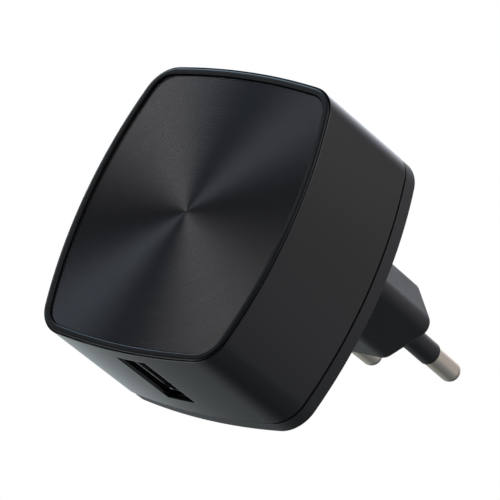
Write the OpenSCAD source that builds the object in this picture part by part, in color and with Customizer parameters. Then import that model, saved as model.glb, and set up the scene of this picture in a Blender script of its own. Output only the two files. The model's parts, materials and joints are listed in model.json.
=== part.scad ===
// USB wall charger with a two-pin European plug.
// Frame: X across the face, +Y from the face to the plug, +Z up, the USB port at the bottom.
// Origin: midway between the pins, in the plane of the rear face that meets the wall socket.

/* [Housing] */
// Greatest width of the housing, at mid height
body_w = 45.4; // [42:0.1:56]
// Greatest height of the housing, at mid width
body_h = 50.7; // [46:0.1:64]
// Depth from the rear face to the front of the frame
body_d = 25.2; // [23.5:0.1:32]
// Bulge of the left and right sides
side_bow = 4.2; // [1:0.1:5.5]
// Bulge of the top and bottom sides
end_bow = 2.1; // [0.5:0.1:3.5]
// Radius of the four corners
corner_r = 6; // [5:0.1:9]
// Thickness of the side walls
wall = 1.8; // [1.4:0.1:2.2]
// Thickness of the wall behind the front frame
front_wall = 1.4; // [1:0.1:1.8]
// Diameter of the posts that carry the board
post_d = 3.4; // [2.4:0.1:4]

/* [Front] */
// Depth of the front frame
frame_t = 1.6; // [1.3:0.1:1.9]
// Width of the rim around the face panel
frame_rim = 1.17; // [0.9:0.01:2]
// Inset of the frame from the outside of the housing
frame_inset = 0.35; // [0.25:0.01:0.6]
// Thickness of the face panel
panel_t = 0.45; // [0.3:0.05:0.5]
// How far the face panel lies below the rim
panel_recess = 0.4; // [0.2:0.05:0.45]
// Thickness of the adhesive sheet
adhesive_t = 0.15; // [0.1:0.05:0.2]
// How far the frame stands out in front of the housing
frame_proud = 0.25; // [0:0.05:0.5]
// Diameter of the frame's staked pegs
peg_d = 1.8; // [1.2:0.1:2.4]

/* [Rear cover] */
// Thickness of the rear cover at its edge
cover_t = 2.8; // [2.2:0.1:3.4]
// Thickness of the rear cover inside its rim
cover_floor = 2; // [1.4:0.1:2.2]
// Shadow gap between the housing and the rear cover
seam_gap = 0.35; // [0.2:0.05:0.6]
// How far the cover's outline lies inside the housing's
cover_inset = 0.08; // [0:0.01:0.3]
// Thickness of the welding lip
lip_t = 1; // [0.8:0.1:1.3]
// Height of the welding lip
lip_h = 2.4; // [1.5:0.1:3]

/* [Plug] */
// Width of the plug nose
nose_w = 35.3; // [34.6:0.1:36]
// Thickness of the plug nose
nose_h = 13.7; // [13:0.1:14.4]
// Length of the plug nose
nose_l = 20; // [18:0.1:24]
// Wall of the plug nose
nose_wall = 1.6; // [1.2:0.1:2]
// Thickness of the nose's end wall
nose_end = 2.4; // [1.8:0.1:3]
// Height of the plug's axis above the housing's middle
plug_rise = 4.4; // [0:0.1:6]
// Distance between the pins where they leave the nose
pin_pitch_root = 18.7; // [18:0.1:19.2]
// Distance between the pins at their tips
pin_pitch_tip = 17.3; // [17:0.1:18]
// Length of a pin outside the nose
pin_l = 20.6; // [18.5:0.1:21.5]
// Diameter of a pin's bare end
pin_d = 3.8; // [3.7:0.01:4.06]
// Length of the sleeve outside the nose
sleeve_l = 12.2; // [9:0.1:13]
// Outer diameter of the sleeve
sleeve_d = 4.12; // [3.9:0.01:4.2]
// Diameter of the pin inside its sleeve
shank_d = 3; // [2.6:0.1:3.2]

/* [USB port] */
// Width of the opening in the housing
port_w = 14.4; // [13.8:0.1:15]
// Height of the opening in the housing
port_h = 6.2; // [6:0.1:7]
// Distance from the front of the frame to the middle of the opening
port_depth = 10.15; // [10.1:0.05:11.5]
// Offset of the opening from the housing's middle
port_x = 0.15; // [-1:0.05:1]
// Width of the receptacle's shell
shell_w = 13.15; // [13.1:0.01:13.3]
// Height of the receptacle's shell
shell_h = 5.72; // [5.7:0.01:5.9]
// Length of the receptacle's shell
shell_l = 14; // [13:0.1:15]
// Thickness of the receptacle's sheet
shell_t = 0.3; // [0.25:0.01:0.32]
// How far the shell stands back from the outside of the housing
port_setback = 1.2; // [0.6:0.1:1.6]
// Width of the tongue
tongue_w = 11.1; // [10.5:0.1:11.3]
// Thickness of the tongue
tongue_t = 1.84; // [1.7:0.01:1.9]
// Length of the spring windows in the shell
spring_window_l = 4.4; // [3:0.1:5]
// Width of the spring windows in the shell
spring_window_w = 2; // [1.4:0.1:2.4]

/* [Circuit board] */
// Thickness of the board
board_t = 1.6; // [1:0.1:2]
// Gap between the board's edge and the housing's inner wall
board_gap = 0.5; // [0.3:0.1:1]
// Diameter of the drilled lead holes
lead_hole_d = 1; // [0.9:0.05:1.2]
// Diameter of the component leads
lead_d = 0.6; // [0.4:0.05:0.7]

/* [Transformer] */
// Length of the ferrite core
core_l = 16; // [14:0.1:17]
// Width of the ferrite core
core_w = 12.4; // [11:0.1:12.8]
// Thickness of the ferrite core
core_t = 4.8; // [4:0.1:5.2]
// Overall height of the wound bobbin
bobbin_h = 12.4; // [11:0.1:12.6]

/* [Capacitors and choke] */
// Diameter of the mains capacitors
input_cap_d = 8; // [6.3:0.1:8.2]
// Height of the mains capacitors
input_cap_h = 12.2; // [9:0.1:12.6]
// Diameter of the output capacitors
output_cap_d = 6.3; // [5:0.1:6.5]
// Height of the output capacitors
output_cap_h = 9; // [7:0.1:12]
// Diameter of the choke's flanges
choke_d = 6; // [5:0.1:6.5]
// Height of the choke
choke_h = 8; // [6:0.1:10]

/* [Hidden] */
$fn = 48;

// Clearances: a loose drop-in fit, a close fit, and the small overlap that joins one piece's own solids
slip = 0.1;
snug = 0.03;
weld = 0.2;
rebate_gap = 0.08;

// Outline of the housing: two side arcs and two end arcs joined by corner arcs
half_w = body_w / 2;
half_h = body_h / 2;
side_r = (half_h * half_h + side_bow * side_bow) / (2 * side_bow);
end_r = (half_w * half_w + end_bow * end_bow) / (2 * end_bow);
side_c = half_w - side_r;
end_c = half_h - end_r;
centre_gap = norm([side_c, end_c]);
along = (centre_gap * centre_gap + pow(side_r - corner_r, 2) - pow(end_r - corner_r, 2)) / (2 * centre_gap);
across = sqrt(pow(side_r - corner_r, 2) - along * along);
toward = [-side_c, end_c] / centre_gap;
corner = [side_c, 0] + along * toward + across * [-toward.y, toward.x];
side_turn = atan2(corner.y, corner.x - side_c);
end_turn = atan2(corner.y - end_c, corner.x);
side_steps = 7;
corner_steps = 8;

// Depths along Y, from the wall plane at 0 to the front
front_y = -body_d;
frame_back_y = front_y + frame_t;
panel_front_y = front_y + panel_recess;
panel_back_y = panel_front_y + panel_t;
adhesive_back_y = panel_back_y + adhesive_t;
housing_front_y = front_y + frame_proud;
inner_front_y = frame_back_y + front_wall;
housing_back_y = -cover_t - seam_gap;
port_y = front_y + port_depth;
shell_stand = 0.2;
board_front_y = port_y + shell_w / 2 + shell_stand;
board_back_y = board_front_y + board_t;

// Outlines, as distances inside the housing's outside
rebate_in = frame_inset - rebate_gap;
pocket_in = frame_inset + frame_rim - slip;
panel_in = pocket_in + slip;
board_in = wall + board_gap;

// Posts stand near the corners, pegs near the sides
post_out = 1.15;
post_at = corner + [post_out, post_out];
peg_in = 3.3;
peg_rise = 6;
peg_at = [half_w - wall - peg_in, peg_rise];
peg_head_d = peg_d + 1;
peg_head_t = 0.5;
adhesive_in = panel_in + 0.6;
port_corner_r = 0.4;

// Plug: a long hexagon with 45 degree ends, and pins that lean towards each other
tip_r = 2.4;
flat_r = 2.4;
nose_point = nose_w / 2 + tip_r * (sqrt(2) - 1);
boss_l = 9.6;
boss_d = 8;
collar_d = 5.8;
collar_t = 1.5;
seat_l = 6.5;
tail_l = 14;
pin_lean = atan((pin_pitch_root - pin_pitch_tip) / 2 / pin_l);
dome_steps = 8;

// Contact springs
spring_t = 0.4;
spring_w = 3;
spring_foot = 4;
spring_run = 3.4;
leaf_past = 1.5;
tail_x = pin_pitch_root / 2 + tail_l * tan(pin_lean);
spring_x = tail_x + spring_run;
spring_top_y = nose_l - tail_l * cos(pin_lean) - shank_d / 2 * sin(pin_lean);

// USB receptacle
mouth_z = -half_h + port_setback;
shell_back_z = mouth_z + shell_l;
block_l = 4.6;
tongue_x = port_x + 1.1;
tongue_setback = 0.5;
tongue_tip_z = mouth_z + tongue_setback;
tongue_face_x = tongue_x - tongue_t / 2;
contact_w = 1;
contact_t = 0.25;
contact_ys = [-3.5, -1, 1, 3.5];
tail_spread = 1.3;
tail_stagger = 2;
tail_in = 0.7;
leg_w = 1.8;
leg_zs = [mouth_z + 4.2, shell_back_z - 2.4];
leg_slot = 0.5;
window_out = 3.2;
window_z = mouth_z + 2.6;
shell_r = 0.7;
shell_inner_r = shell_r - shell_t;
contact_in = 0.8;
leg_at = [for (z = leg_zs, side = [-1, 1]) [port_x + side * (shell_h - shell_t) / 2, z]];

// Lead length: through the board and a little past it
lead_past = 0.8;

// Slot in the board between its mains side and its low-voltage side
isolation_at = [1.6, 3.5];
isolation_slot = [1, 16];

// Places on the board, from the housing's middle
transformer_at = [-10.2, -6.2];
controller_at = transformer_at;
input_cap_at = [[-13, 11.2], [-3.4, 15.2]];
output_cap_at = [[8.6, -7.4], [8.6, -15.6]];
choke_at = [5.8, 15.6];
resistor_at = [11.2, 12.6];
safety_at = [4.4, 5.4];
bridge_at = [-1.4, 5.4];
rectifier_at = [15.6, -8];
protocol_at = [-7, -18.6];
input_lead_pitch = 3.5;
output_lead_pitch = 2.5;
choke_lead_pitch = 3;
resistor_lead_pitch = 12;
safety_lead_pitch = 5;

// Transformer
core_back = 2.2;
core_leg = 4.4;
core_outer_leg = 2.2;
window_l = core_w - 2 * core_back;
tube_wall = 0.6;
flange_t = 0.8;
flange_out = window_l / 2 - slip;
flange_half = core_l / 2 - core_outer_leg - 0.3;
tape_t = 0.3;
wound_half_v = flange_half - 0.3;
wound_half_y = bobbin_h / 2 - 0.4;
wound_r = 2.2;
transformer_y = board_front_y - 0.2 - bobbin_h / 2;
rail_w = 2.2;
rail_h = 2.6;
transformer_pin_vs = [-4.8, -1.6, 1.6, 4.8];
transformer_pin_u = flange_out + rail_w / 2;

// Choke
choke_core_d = choke_d / 2;
choke_flange_t = 1.2;
choke_base_y = board_front_y - 0.4;
winding_in = 0.3;

// The two leads of a component
function pair(at, pitch, dir) = [at - dir * pitch / 2, at + dir * pitch / 2];
// Every drilled lead, as places from the housing's middle
lead_at = concat(
  [for (s = [-1, 1], v = transformer_pin_vs) transformer_at + [s * transformer_pin_u, v]],
  [for (at = input_cap_at) each pair(at, input_lead_pitch, [1, 0])],
  [for (at = output_cap_at) each pair(at, output_lead_pitch, [0, 1])],
  pair(choke_at, choke_lead_pitch, [1, 0]),
  pair(resistor_at, resistor_lead_pitch, [0, 1]),
  pair(safety_at, safety_lead_pitch, [0, 1])
);

function unit(v) = v / norm(v);

// Points on an arc about c, from angle a0 to a1, without the last one
function arc(c, r, a0, a1, n) = [
  for (i = [0 : n - 1]) let (a = a0 + (a1 - a0) * i / n) c + r * [cos(a), sin(a)]
];

// Quarter of the housing's outline, moved outwards by d
function quarter(d) = concat(
  arc([side_c, 0], side_r + d, 0, side_turn, side_steps),
  arc(corner, corner_r + d, side_turn, end_turn, corner_steps),
  arc([0, end_c], end_r + d, end_turn, 90, side_steps),
  [[0, half_h + d]]
);

function outline(d) = let (q = quarter(d), n = len(q)) concat(
  q,
  [for (i = [n - 2 : -1 : 1]) [-q[i].x, q[i].y]],
  [for (p = q) -p],
  [for (i = [n - 2 : -1 : 1]) [q[i].x, -q[i].y]]
);

// Arc that rounds corner b of a counter-clockwise outline a, b, c
function round_corner(a, b, c, r, n) =
  let (
    u = unit(a - b),
    w = unit(c - b),
    half = acos(u * w) / 2,
    o = b + unit(u + w) * r / sin(half),
    s = b + u * r / tan(half) - o,
    a0 = atan2(s.y, s.x),
    turn = 180 - 2 * half
  )
  [for (i = [0 : n]) o + r * [cos(a0 + turn * i / n), sin(a0 + turn * i / n)]];

function rounded(v, r, n = 5) = let (m = len(v)) [
  for (i = [0 : m - 1]) each round_corner(v[(i + m - 1) % m], v[i], v[(i + 1) % m], r[i % len(r)], n)
];

function box2(w, h) = [[w, h], [-w, h], [-w, -h], [w, -h]] / 2;

// Nose section, moved outwards by d
function nose_outline(d) =
  let (p = nose_point + d * sqrt(2), h = nose_h / 2 + d)
  rounded(
    [[p, 0], [p - h, h], [h - p, h], [-p, 0], [h - p, -h], [p - h, -h]],
    [tip_r + d, flat_r + d, flat_r + d]
  );

// Extrudes an XZ outline from y0 to y1
module along_y(y0, y1) {
  translate([0, y1, 0]) rotate([90, 0, 0]) linear_extrude(y1 - y0) children();
}

// Everything set out from the housing's middle
module body_frame() {
  translate([0, 0, -plug_rise]) children();
}

module slab(inside, y0, y1) {
  along_y(y0, y1) polygon(outline(-inside));
}

module rod(at, d, y0, y1) {
  translate([at.x, y0, at.y]) rotate([-90, 0, 0]) cylinder(d = d, h = y1 - y0);
}

module brick(at, size, y0, y1) {
  translate([at.x - size.x / 2, y0, at.y - size.y / 2]) cube([size.x, y1 - y0, size.y]);
}

// Leads from y0 through the board
module leads(places, y0) {
  for (p = places) rod(p, lead_d, y0, board_back_y + lead_past);
}

module pin_frame(side) {
  translate([side * pin_pitch_root / 2, nose_l, 0])
    rotate([0, 0, side * pin_lean]) rotate([-90, 0, 0]) children();
}

// The same rod in all four quarters
module four(at, d, y0, y1) {
  for (sx = [-1, 1], sz = [-1, 1]) rod([sx * at.x, sz * at.y], d, y0, y1);
}

module housing() {
  color([0.05, 0.05, 0.055]) body_frame() {
    difference() {
      slab(0, housing_front_y, housing_back_y);
      slab(wall, inner_front_y, housing_back_y + 1);
      slab(rebate_in, housing_front_y - 1, frame_back_y);
      translate([port_x, port_y, -half_h - 1])
        linear_extrude(wall + end_bow + 2) polygon(rounded(box2(port_h, port_w), [port_corner_r]));
      four(peg_at, peg_d + 2 * slip, frame_back_y - 1, inner_front_y + 1);
    }
    four(post_at, post_d, inner_front_y - weld, board_front_y);
  }
}

module front_frame() {
  color([0.09, 0.09, 0.095]) body_frame() {
    difference() {
      slab(frame_inset, front_y, frame_back_y);
      slab(pocket_in, front_y - 1, adhesive_back_y);
    }
    four(peg_at, peg_d, frame_back_y - weld, inner_front_y + weld);
    four(peg_at, peg_head_d, inner_front_y, inner_front_y + peg_head_t);
  }
}

module face_panel() {
  color([0.16, 0.16, 0.17]) body_frame() slab(panel_in, panel_front_y, panel_back_y);
}

module panel_adhesive() {
  color([0.8, 0.8, 0.78]) body_frame() slab(adhesive_in, panel_back_y, adhesive_back_y);
}

module rear_cover() {
  lip_in = wall + slip;
  color([0.19, 0.19, 0.2]) {
    difference() {
      union() {
        body_frame() slab(cover_inset, -cover_t, 0);
        body_frame() difference() {
          slab(lip_in, -cover_t - lip_h, -cover_t + weld);
          slab(lip_in + lip_t, -cover_t - lip_h - 1, 0);
        }
        along_y(-cover_floor, nose_l) polygon(nose_outline(0));
      }
      difference() {
        body_frame() slab(lip_in + lip_t, -cover_t - 1, -cover_floor);
        along_y(-cover_t - 2, 0) polygon(nose_outline(0));
      }
      difference() {
        along_y(-cover_t - 1, nose_l - nose_end) polygon(nose_outline(-nose_wall));
        for (side = [-1, 1]) pin_frame(side)
          translate([0, 0, -nose_end - boss_l]) cylinder(d = boss_d, h = boss_l + 1);
      }
      for (side = [-1, 1]) pin_frame(side) {
        translate([0, 0, -seat_l - 1]) cylinder(d = sleeve_d + 2 * snug, h = seat_l + 2);
        translate([0, 0, -nose_end - boss_l - 1])
          cylinder(d = collar_d + 2 * slip, h = nose_end + boss_l + 1 - seat_l);
      }
    }
    body_frame() four(post_at, post_d, board_back_y, -cover_floor + weld);
  }
}

// Pin profile, turned about its axis: tail, collar, shank inside the sleeve, bare end with a round tip
module pin(side) {
  r = pin_d / 2;
  dome = [for (i = [0 : dome_steps]) let (a = 90 * i / dome_steps) [r * cos(a), pin_l - r + r * sin(a)]];
  color([0.72, 0.69, 0.64]) pin_frame(side) rotate_extrude() polygon(concat(
    [[0, -tail_l], [shank_d / 2, -tail_l], [shank_d / 2, -seat_l - collar_t]],
    [[collar_d / 2, -seat_l - collar_t], [collar_d / 2, -seat_l]],
    [[shank_d / 2, -seat_l], [shank_d / 2, sleeve_l], [r, sleeve_l]],
    dome
  ));
}

module pin_sleeve(side) {
  color([0.06, 0.06, 0.07]) pin_frame(side) translate([0, 0, -seat_l]) difference() {
    cylinder(d = sleeve_d, h = seat_l + sleeve_l);
    translate([0, 0, -1]) cylinder(d = shank_d + 2 * snug, h = seat_l + sleeve_l + 2);
  }
}

// Bent strip: a foot on the board, a riser, and a leaf that bears on the end of the pin
module contact_spring(side) {
  strip = [
    [spring_x + spring_foot, board_back_y], [spring_x + spring_foot, board_back_y + spring_t],
    [spring_x + spring_t, board_back_y + spring_t], [spring_x + spring_t, spring_top_y],
    [tail_x - leaf_past, spring_top_y], [tail_x - leaf_past, spring_top_y - spring_t],
    [spring_x, spring_top_y - spring_t], [spring_x, board_back_y]
  ];
  color([0.78, 0.62, 0.4]) translate([0, 0, -spring_w / 2])
    linear_extrude(spring_w) polygon([for (p = strip) [side * p.x, p.y]]);
}

module circuit_board() {
  color([0.08, 0.3, 0.16]) body_frame() difference() {
    slab(board_in, board_front_y, board_back_y);
    for (p = lead_at) rod(p, lead_hole_d, board_front_y - 1, board_back_y + 1);
    for (i = [0 : 3]) rod(contact_tail(i), lead_hole_d, board_front_y - 1, board_back_y + 1);
    for (at = leg_at) brick(at, [shell_t + leg_slot, leg_w + leg_slot], board_front_y - 1, board_back_y + 1);
    brick(isolation_at, isolation_slot, board_front_y - 1, board_back_y + 1);
  }
}

module usb_shell() {
  inner_w = shell_w - 2 * shell_t;
  inner_h = shell_h - 2 * shell_t;
  color([0.75, 0.76, 0.78]) body_frame() {
    difference() {
      translate([port_x, port_y, mouth_z]) difference() {
        linear_extrude(shell_l) polygon(rounded(box2(shell_h, shell_w), [shell_r]));
        translate([0, 0, -1])
          linear_extrude(shell_l + 2) polygon(rounded(box2(inner_h, inner_w), [shell_inner_r]));
      }
      for (y = [-1, 1]) translate([port_x - shell_h, port_y + y * window_out - spring_window_w / 2, window_z])
        cube([2 * shell_h, spring_window_w, spring_window_l]);
    }
    for (at = leg_at) brick(at, [shell_t, leg_w], port_y + shell_w / 2 - 1, board_back_y + lead_past);
  }
}

// Where contact i goes down into the board
function contact_tail(i) =
  [port_x + (i - 1.5) * tail_spread, shell_back_z + tail_in + (i % 2) * tail_stagger];

// One contact: a strip on the tongue, a run through the block, and a tail down into the board
module usb_contact(i, grow) {
  y = port_y + contact_ys[i];
  tail = contact_tail(i);
  w = contact_w + 2 * grow;
  t = contact_t + grow;
  strip_x = tongue_face_x - contact_t;
  tip_z = tongue_tip_z + contact_in;
  translate([strip_x - grow, y - w / 2, tip_z]) cube([t + grow, w, tail.y - tip_z]);
  if (grow == 0) {
    low_x = min(strip_x, tail.x - contact_t / 2);
    high_x = max(strip_x + contact_t, tail.x + contact_t / 2);
    translate([low_x, y - w / 2, tail.y - contact_t]) cube([high_x - low_x, w, contact_t]);
    rod(tail - [0, contact_t / 2], contact_t * 2, y - w / 2, board_back_y + lead_past);
  }
}

module usb_tongue() {
  inner_w = shell_w - 2 * shell_t - slip;
  inner_h = shell_h - 2 * shell_t - slip;
  color([0.05, 0.05, 0.05]) body_frame() difference() {
    union() {
      translate([port_x, port_y, shell_back_z - block_l])
        linear_extrude(block_l) polygon(rounded(box2(inner_h, inner_w), [shell_inner_r]));
      translate([tongue_x - tongue_t / 2, port_y - tongue_w / 2, tongue_tip_z])
        cube([tongue_t, tongue_w, shell_l - tongue_setback - block_l + weld]);
    }
    for (i = [0 : 3]) usb_contact(i, snug);
  }
}

module usb_contacts() {
  color([0.85, 0.68, 0.3]) body_frame() for (i = [0 : 3]) usb_contact(i, 0);
}

module at_transformer() {
  body_frame() translate([transformer_at.x, transformer_y, transformer_at.y]) children();
}

module transformer_core() {
  color([0.22, 0.21, 0.21]) at_transformer() difference() {
    cube([core_w, core_t, core_l], center = true);
    for (s = [-1, 1]) translate([0, 0, s * (core_leg / 2 + (core_l / 2 - core_outer_leg)) / 2])
      cube([window_l, core_t + 1, core_l / 2 - core_outer_leg - core_leg / 2], center = true);
  }
}

module transformer_bobbin() {
  tube_y = core_t + 2 * (slip + tube_wall);
  tube_v = core_leg + 2 * (slip + tube_wall);
  color([0.1, 0.1, 0.1]) at_transformer() {
    difference() {
      union() {
        cube([2 * flange_out, tube_y, tube_v], center = true);
        for (s = [-1, 1]) translate([s * (flange_out - flange_t / 2), 0, 0])
          cube([flange_t, bobbin_h, 2 * flange_half], center = true);
      }
      cube([core_w, core_t + 2 * slip, core_leg + 2 * slip], center = true);
    }
    for (s = [-1, 1]) difference() {
      translate([s * (flange_out + rail_w / 2), bobbin_h / 2 - rail_h / 2, 0])
        cube([rail_w + weld, rail_h, 2 * flange_half], center = true);
      for (v = transformer_pin_vs)
        rod([s * transformer_pin_u, v], lead_d + 2 * snug, bobbin_h / 2 - rail_h + 0.6, bobbin_h);
    }
  }
}

// Outer section of the wound bobbin, moved inwards by d
module wound_outline(d) {
  polygon(rounded(box2(2 * (wound_half_y - d), 2 * (wound_half_v - d)), [wound_r - d]));
}

// A ring around the bobbin's tube, from the section moved in by outer down to inner, or to the tube
module wound_ring(outer, inner) {
  inner_v = core_leg / 2 + slip + tube_wall;
  inner_y = core_t / 2 + slip + tube_wall;
  len = 2 * (flange_out - flange_t) - 2 * slip;
  translate([-len / 2, 0, 0]) rotate([90, 0, 90]) linear_extrude(len) difference() {
    wound_outline(outer);
    if (inner > 0) wound_outline(inner);
    else polygon(box2(2 * (inner_y + snug), 2 * (inner_v + snug)));
  }
}

module transformer_winding() {
  color([0.72, 0.4, 0.2]) at_transformer() wound_ring(tape_t, 0);
}

module transformer_tape() {
  color([0.9, 0.72, 0.1]) at_transformer() wound_ring(0, tape_t);
}

module transformer_pins() {
  top = transformer_y + bobbin_h / 2 - rail_h + 0.7;
  color([0.8, 0.8, 0.8]) body_frame()
    for (s = [-1, 1], v = transformer_pin_vs)
      rod(transformer_at + [s * transformer_pin_u, v], lead_d, top, board_back_y + lead_past);
}

// Upright can: body, crimp groove, and two leads
module can(at, d, h, pitch, dir) {
  lift = 0.3;
  groove_l = 1.5;
  groove_t = 0.3;
  base = board_front_y - lift;
  translate([at.x, base, at.y]) rotate([90, 0, 0]) rotate_extrude() polygon([
    [0, 0], [d / 2, 0], [d / 2, groove_l - groove_t], [d / 2 - groove_t, groove_l],
    [d / 2, groove_l + groove_t], [d / 2, h - groove_t], [d / 2 - groove_t, h], [0, h]
  ]);
  leads(pair(at, pitch, dir), base - weld);
}

module input_capacitor(i) {
  color([0.07, 0.08, 0.12]) body_frame()
    can(input_cap_at[i], input_cap_d, input_cap_h, input_lead_pitch, [1, 0]);
}

module output_capacitor(i) {
  color([0.75, 0.76, 0.78]) body_frame()
    can(output_cap_at[i], output_cap_d, output_cap_h, output_lead_pitch, [0, 1]);
}

module choke_core() {
  color([0.2, 0.2, 0.2]) body_frame() {
    translate([choke_at.x, choke_base_y, choke_at.y]) rotate([90, 0, 0]) rotate_extrude() polygon([
      [0, 0], [choke_d / 2, 0], [choke_d / 2, choke_flange_t], [choke_core_d / 2, choke_flange_t],
      [choke_core_d / 2, choke_h - choke_flange_t], [choke_d / 2, choke_h - choke_flange_t],
      [choke_d / 2, choke_h], [0, choke_h]
    ]);
    leads(pair(choke_at, choke_lead_pitch, [1, 0]), choke_base_y - weld);
  }
}

module choke_winding() {
  h = choke_h - 2 * choke_flange_t - 2 * snug;
  color([0.72, 0.4, 0.2]) body_frame()
    translate([choke_at.x, choke_base_y - choke_flange_t - snug, choke_at.y])
      rotate([90, 0, 0]) difference() {
        cylinder(d = choke_d - 2 * winding_in, h = h);
        translate([0, 0, -1]) cylinder(d = choke_core_d + 2 * snug, h = h + 2);
      }
}

// Lying body with end caps and bent leads
module fusible_resistor() {
  d = 3.2;
  l = 8.6;
  cap_l = 1.8;
  edge = 0.2;
  waist_r = d / 2 - 0.3;
  y = board_front_y - 0.4 - d / 2;
  ends = pair(resistor_at, resistor_lead_pitch, [0, 1]);
  color([0.25, 0.45, 0.5]) body_frame() {
    translate([resistor_at.x, y, resistor_at.y - l / 2]) rotate_extrude() polygon([
      [0, 0], [d / 2 - edge, 0], [d / 2, edge], [d / 2, cap_l - edge], [waist_r, cap_l + edge],
      [waist_r, l - cap_l - edge], [d / 2, l - cap_l + edge], [d / 2, l - edge], [d / 2 - edge, l], [0, l]
    ]);
    translate([resistor_at.x, y, ends[0].y]) cylinder(d = lead_d, h = resistor_lead_pitch);
    for (p = ends) {
      translate([p.x, y, p.y]) sphere(d = lead_d);
      rod(p, lead_d, y, board_back_y + lead_past);
    }
  }
}

// Upright disc with two leads
module safety_capacitor() {
  d = 7.4;
  t = 3.2;
  r = d / 2;
  edge = 0.5;
  y = board_front_y - 1 - r;
  color([0.1, 0.3, 0.62]) body_frame() {
    translate([safety_at.x - t / 2, y, safety_at.y]) rotate([0, 90, 0]) rotate_extrude() polygon([
      [0, 0], [r - 2 * edge, 0], [r - edge / 2, edge], [r, t / 2],
      [r - edge / 2, t - edge], [r - 2 * edge, t], [0, t]
    ]);
    leads(pair(safety_at, safety_lead_pitch, [0, 1]), y);
  }
}

// Moulded package on the board's front or back, with gull-wing legs along two sides
module chip(at, size, h, legs, pitch, face) {
  surface = face > 0 ? board_back_y : board_front_y;
  stand = 0.15;
  leg_out = 1;
  leg_t = 0.2;
  foot_w = 0.4;
  low = surface + face * stand;
  high = surface + face * (stand + h);
  mid = (low + high) / 2;
  brick(at, size, min(low, high), max(low, high));
  for (s = [-1, 1], i = [0 : legs - 1]) {
    v = at.y + (i - (legs - 1) / 2) * pitch;
    knee = at.x + s * (size.x / 2 + leg_out / 2);
    foot = surface + face * leg_t;
    shoulder = knee - s * (leg_out / 4 + weld / 2);
    brick([shoulder, v], [leg_out / 2 + weld, foot_w], mid - leg_t / 2, mid + leg_t / 2);
    brick([knee, v], [leg_t, foot_w], min(surface, mid + leg_t / 2), max(surface, mid + leg_t / 2));
    brick([knee + s * leg_out / 4, v], [leg_out / 2, foot_w], min(surface, foot), max(surface, foot));
  }
}

module bridge_rectifier() {
  color([0.08, 0.08, 0.08]) body_frame() chip(bridge_at, [3.4, 4.7], 1.4, 2, 2.5, -1);
}

module controller_chip() {
  color([0.07, 0.07, 0.07]) body_frame() chip(controller_at, [3.9, 4.9], 1.5, 4, 1.27, 1);
}

module output_rectifier() {
  color([0.08, 0.08, 0.08]) body_frame() chip(rectifier_at, [3.9, 4.9], 1.5, 4, 1.27, -1);
}

module protocol_chip() {
  color([0.07, 0.07, 0.07]) body_frame() chip(protocol_at, [1.6, 2.9], 1.1, 3, 0.95, -1);
}

// Chip resistors and capacitors in short rows
module chip_parts() {
  size = [1.2, 2];
  h = 0.6;
  gap = 2.2;
  rows = [[[5.4, -20.6], 3], [[15.2, -1.6], 2], [[-15.6, 2.9], 3]];
  color([0.55, 0.45, 0.35]) body_frame() {
    for (row = rows, i = [0 : row[1] - 1])
      brick(row[0] + [i * gap, 0], size, board_front_y - h, board_front_y);
  }
}

// Solder cones around every lead, on the back of the board
module solder_joints() {
  foot_d = 1.9;
  top_d = lead_d + 0.3;
  h = 0.7;
  places = concat(lead_at, [for (i = [0 : 3]) contact_tail(i) - [0, contact_t / 2]]);
  color([0.78, 0.79, 0.8]) body_frame() for (p = places)
    translate([p.x, board_back_y, p.y]) rotate([-90, 0, 0]) difference() {
      cylinder(d1 = foot_d, d2 = top_d, h = h);
      translate([0, 0, -1]) cylinder(d = lead_d + 2 * snug, h = h + 2);
    }
}

housing();
front_frame();
face_panel();
panel_adhesive();
rear_cover();
pin(-1);  // left_pin
pin(1);  // right_pin
pin_sleeve(-1);  // left_pin_sleeve
pin_sleeve(1);  // right_pin_sleeve
contact_spring(-1);  // left_contact_spring
contact_spring(1);  // right_contact_spring
circuit_board();
usb_shell();
usb_tongue();
usb_contacts();
transformer_core();
transformer_bobbin();
transformer_winding();
transformer_tape();
transformer_pins();
input_capacitor(0);  // input_capacitor_1
input_capacitor(1);  // input_capacitor_2
output_capacitor(0);  // output_capacitor_1
output_capacitor(1);  // output_capacitor_2
choke_core();
choke_winding();
fusible_resistor();
safety_capacitor();
bridge_rectifier();
controller_chip();
output_rectifier();
protocol_chip();
chip_parts();
solder_joints();
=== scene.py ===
import json
from math import acos, atan2, pi, sin, sqrt, tan

import bmesh
import bpy
import numpy as np
from mathutils import Matrix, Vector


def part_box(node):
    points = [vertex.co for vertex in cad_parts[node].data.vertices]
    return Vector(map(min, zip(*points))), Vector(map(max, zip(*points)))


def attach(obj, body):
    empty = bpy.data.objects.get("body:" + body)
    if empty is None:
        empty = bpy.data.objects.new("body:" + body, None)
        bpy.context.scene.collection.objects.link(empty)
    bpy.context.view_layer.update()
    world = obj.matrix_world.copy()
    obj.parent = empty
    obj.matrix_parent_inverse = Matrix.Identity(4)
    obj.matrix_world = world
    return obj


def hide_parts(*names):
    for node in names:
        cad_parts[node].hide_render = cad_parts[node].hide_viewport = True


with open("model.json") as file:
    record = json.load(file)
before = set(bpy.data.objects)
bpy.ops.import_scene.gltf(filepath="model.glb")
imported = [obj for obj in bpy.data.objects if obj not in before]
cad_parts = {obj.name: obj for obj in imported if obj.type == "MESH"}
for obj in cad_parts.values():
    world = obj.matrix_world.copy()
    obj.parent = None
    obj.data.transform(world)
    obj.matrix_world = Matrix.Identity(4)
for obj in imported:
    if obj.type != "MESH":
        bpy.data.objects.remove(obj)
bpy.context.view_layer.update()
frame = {"nodes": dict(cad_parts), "record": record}
mm = 0.001
mergeDistance = 0.0001 * mm     # points closer than this become one
upright = (0, 1, 0)             # along the depth, towards the plug


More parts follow.
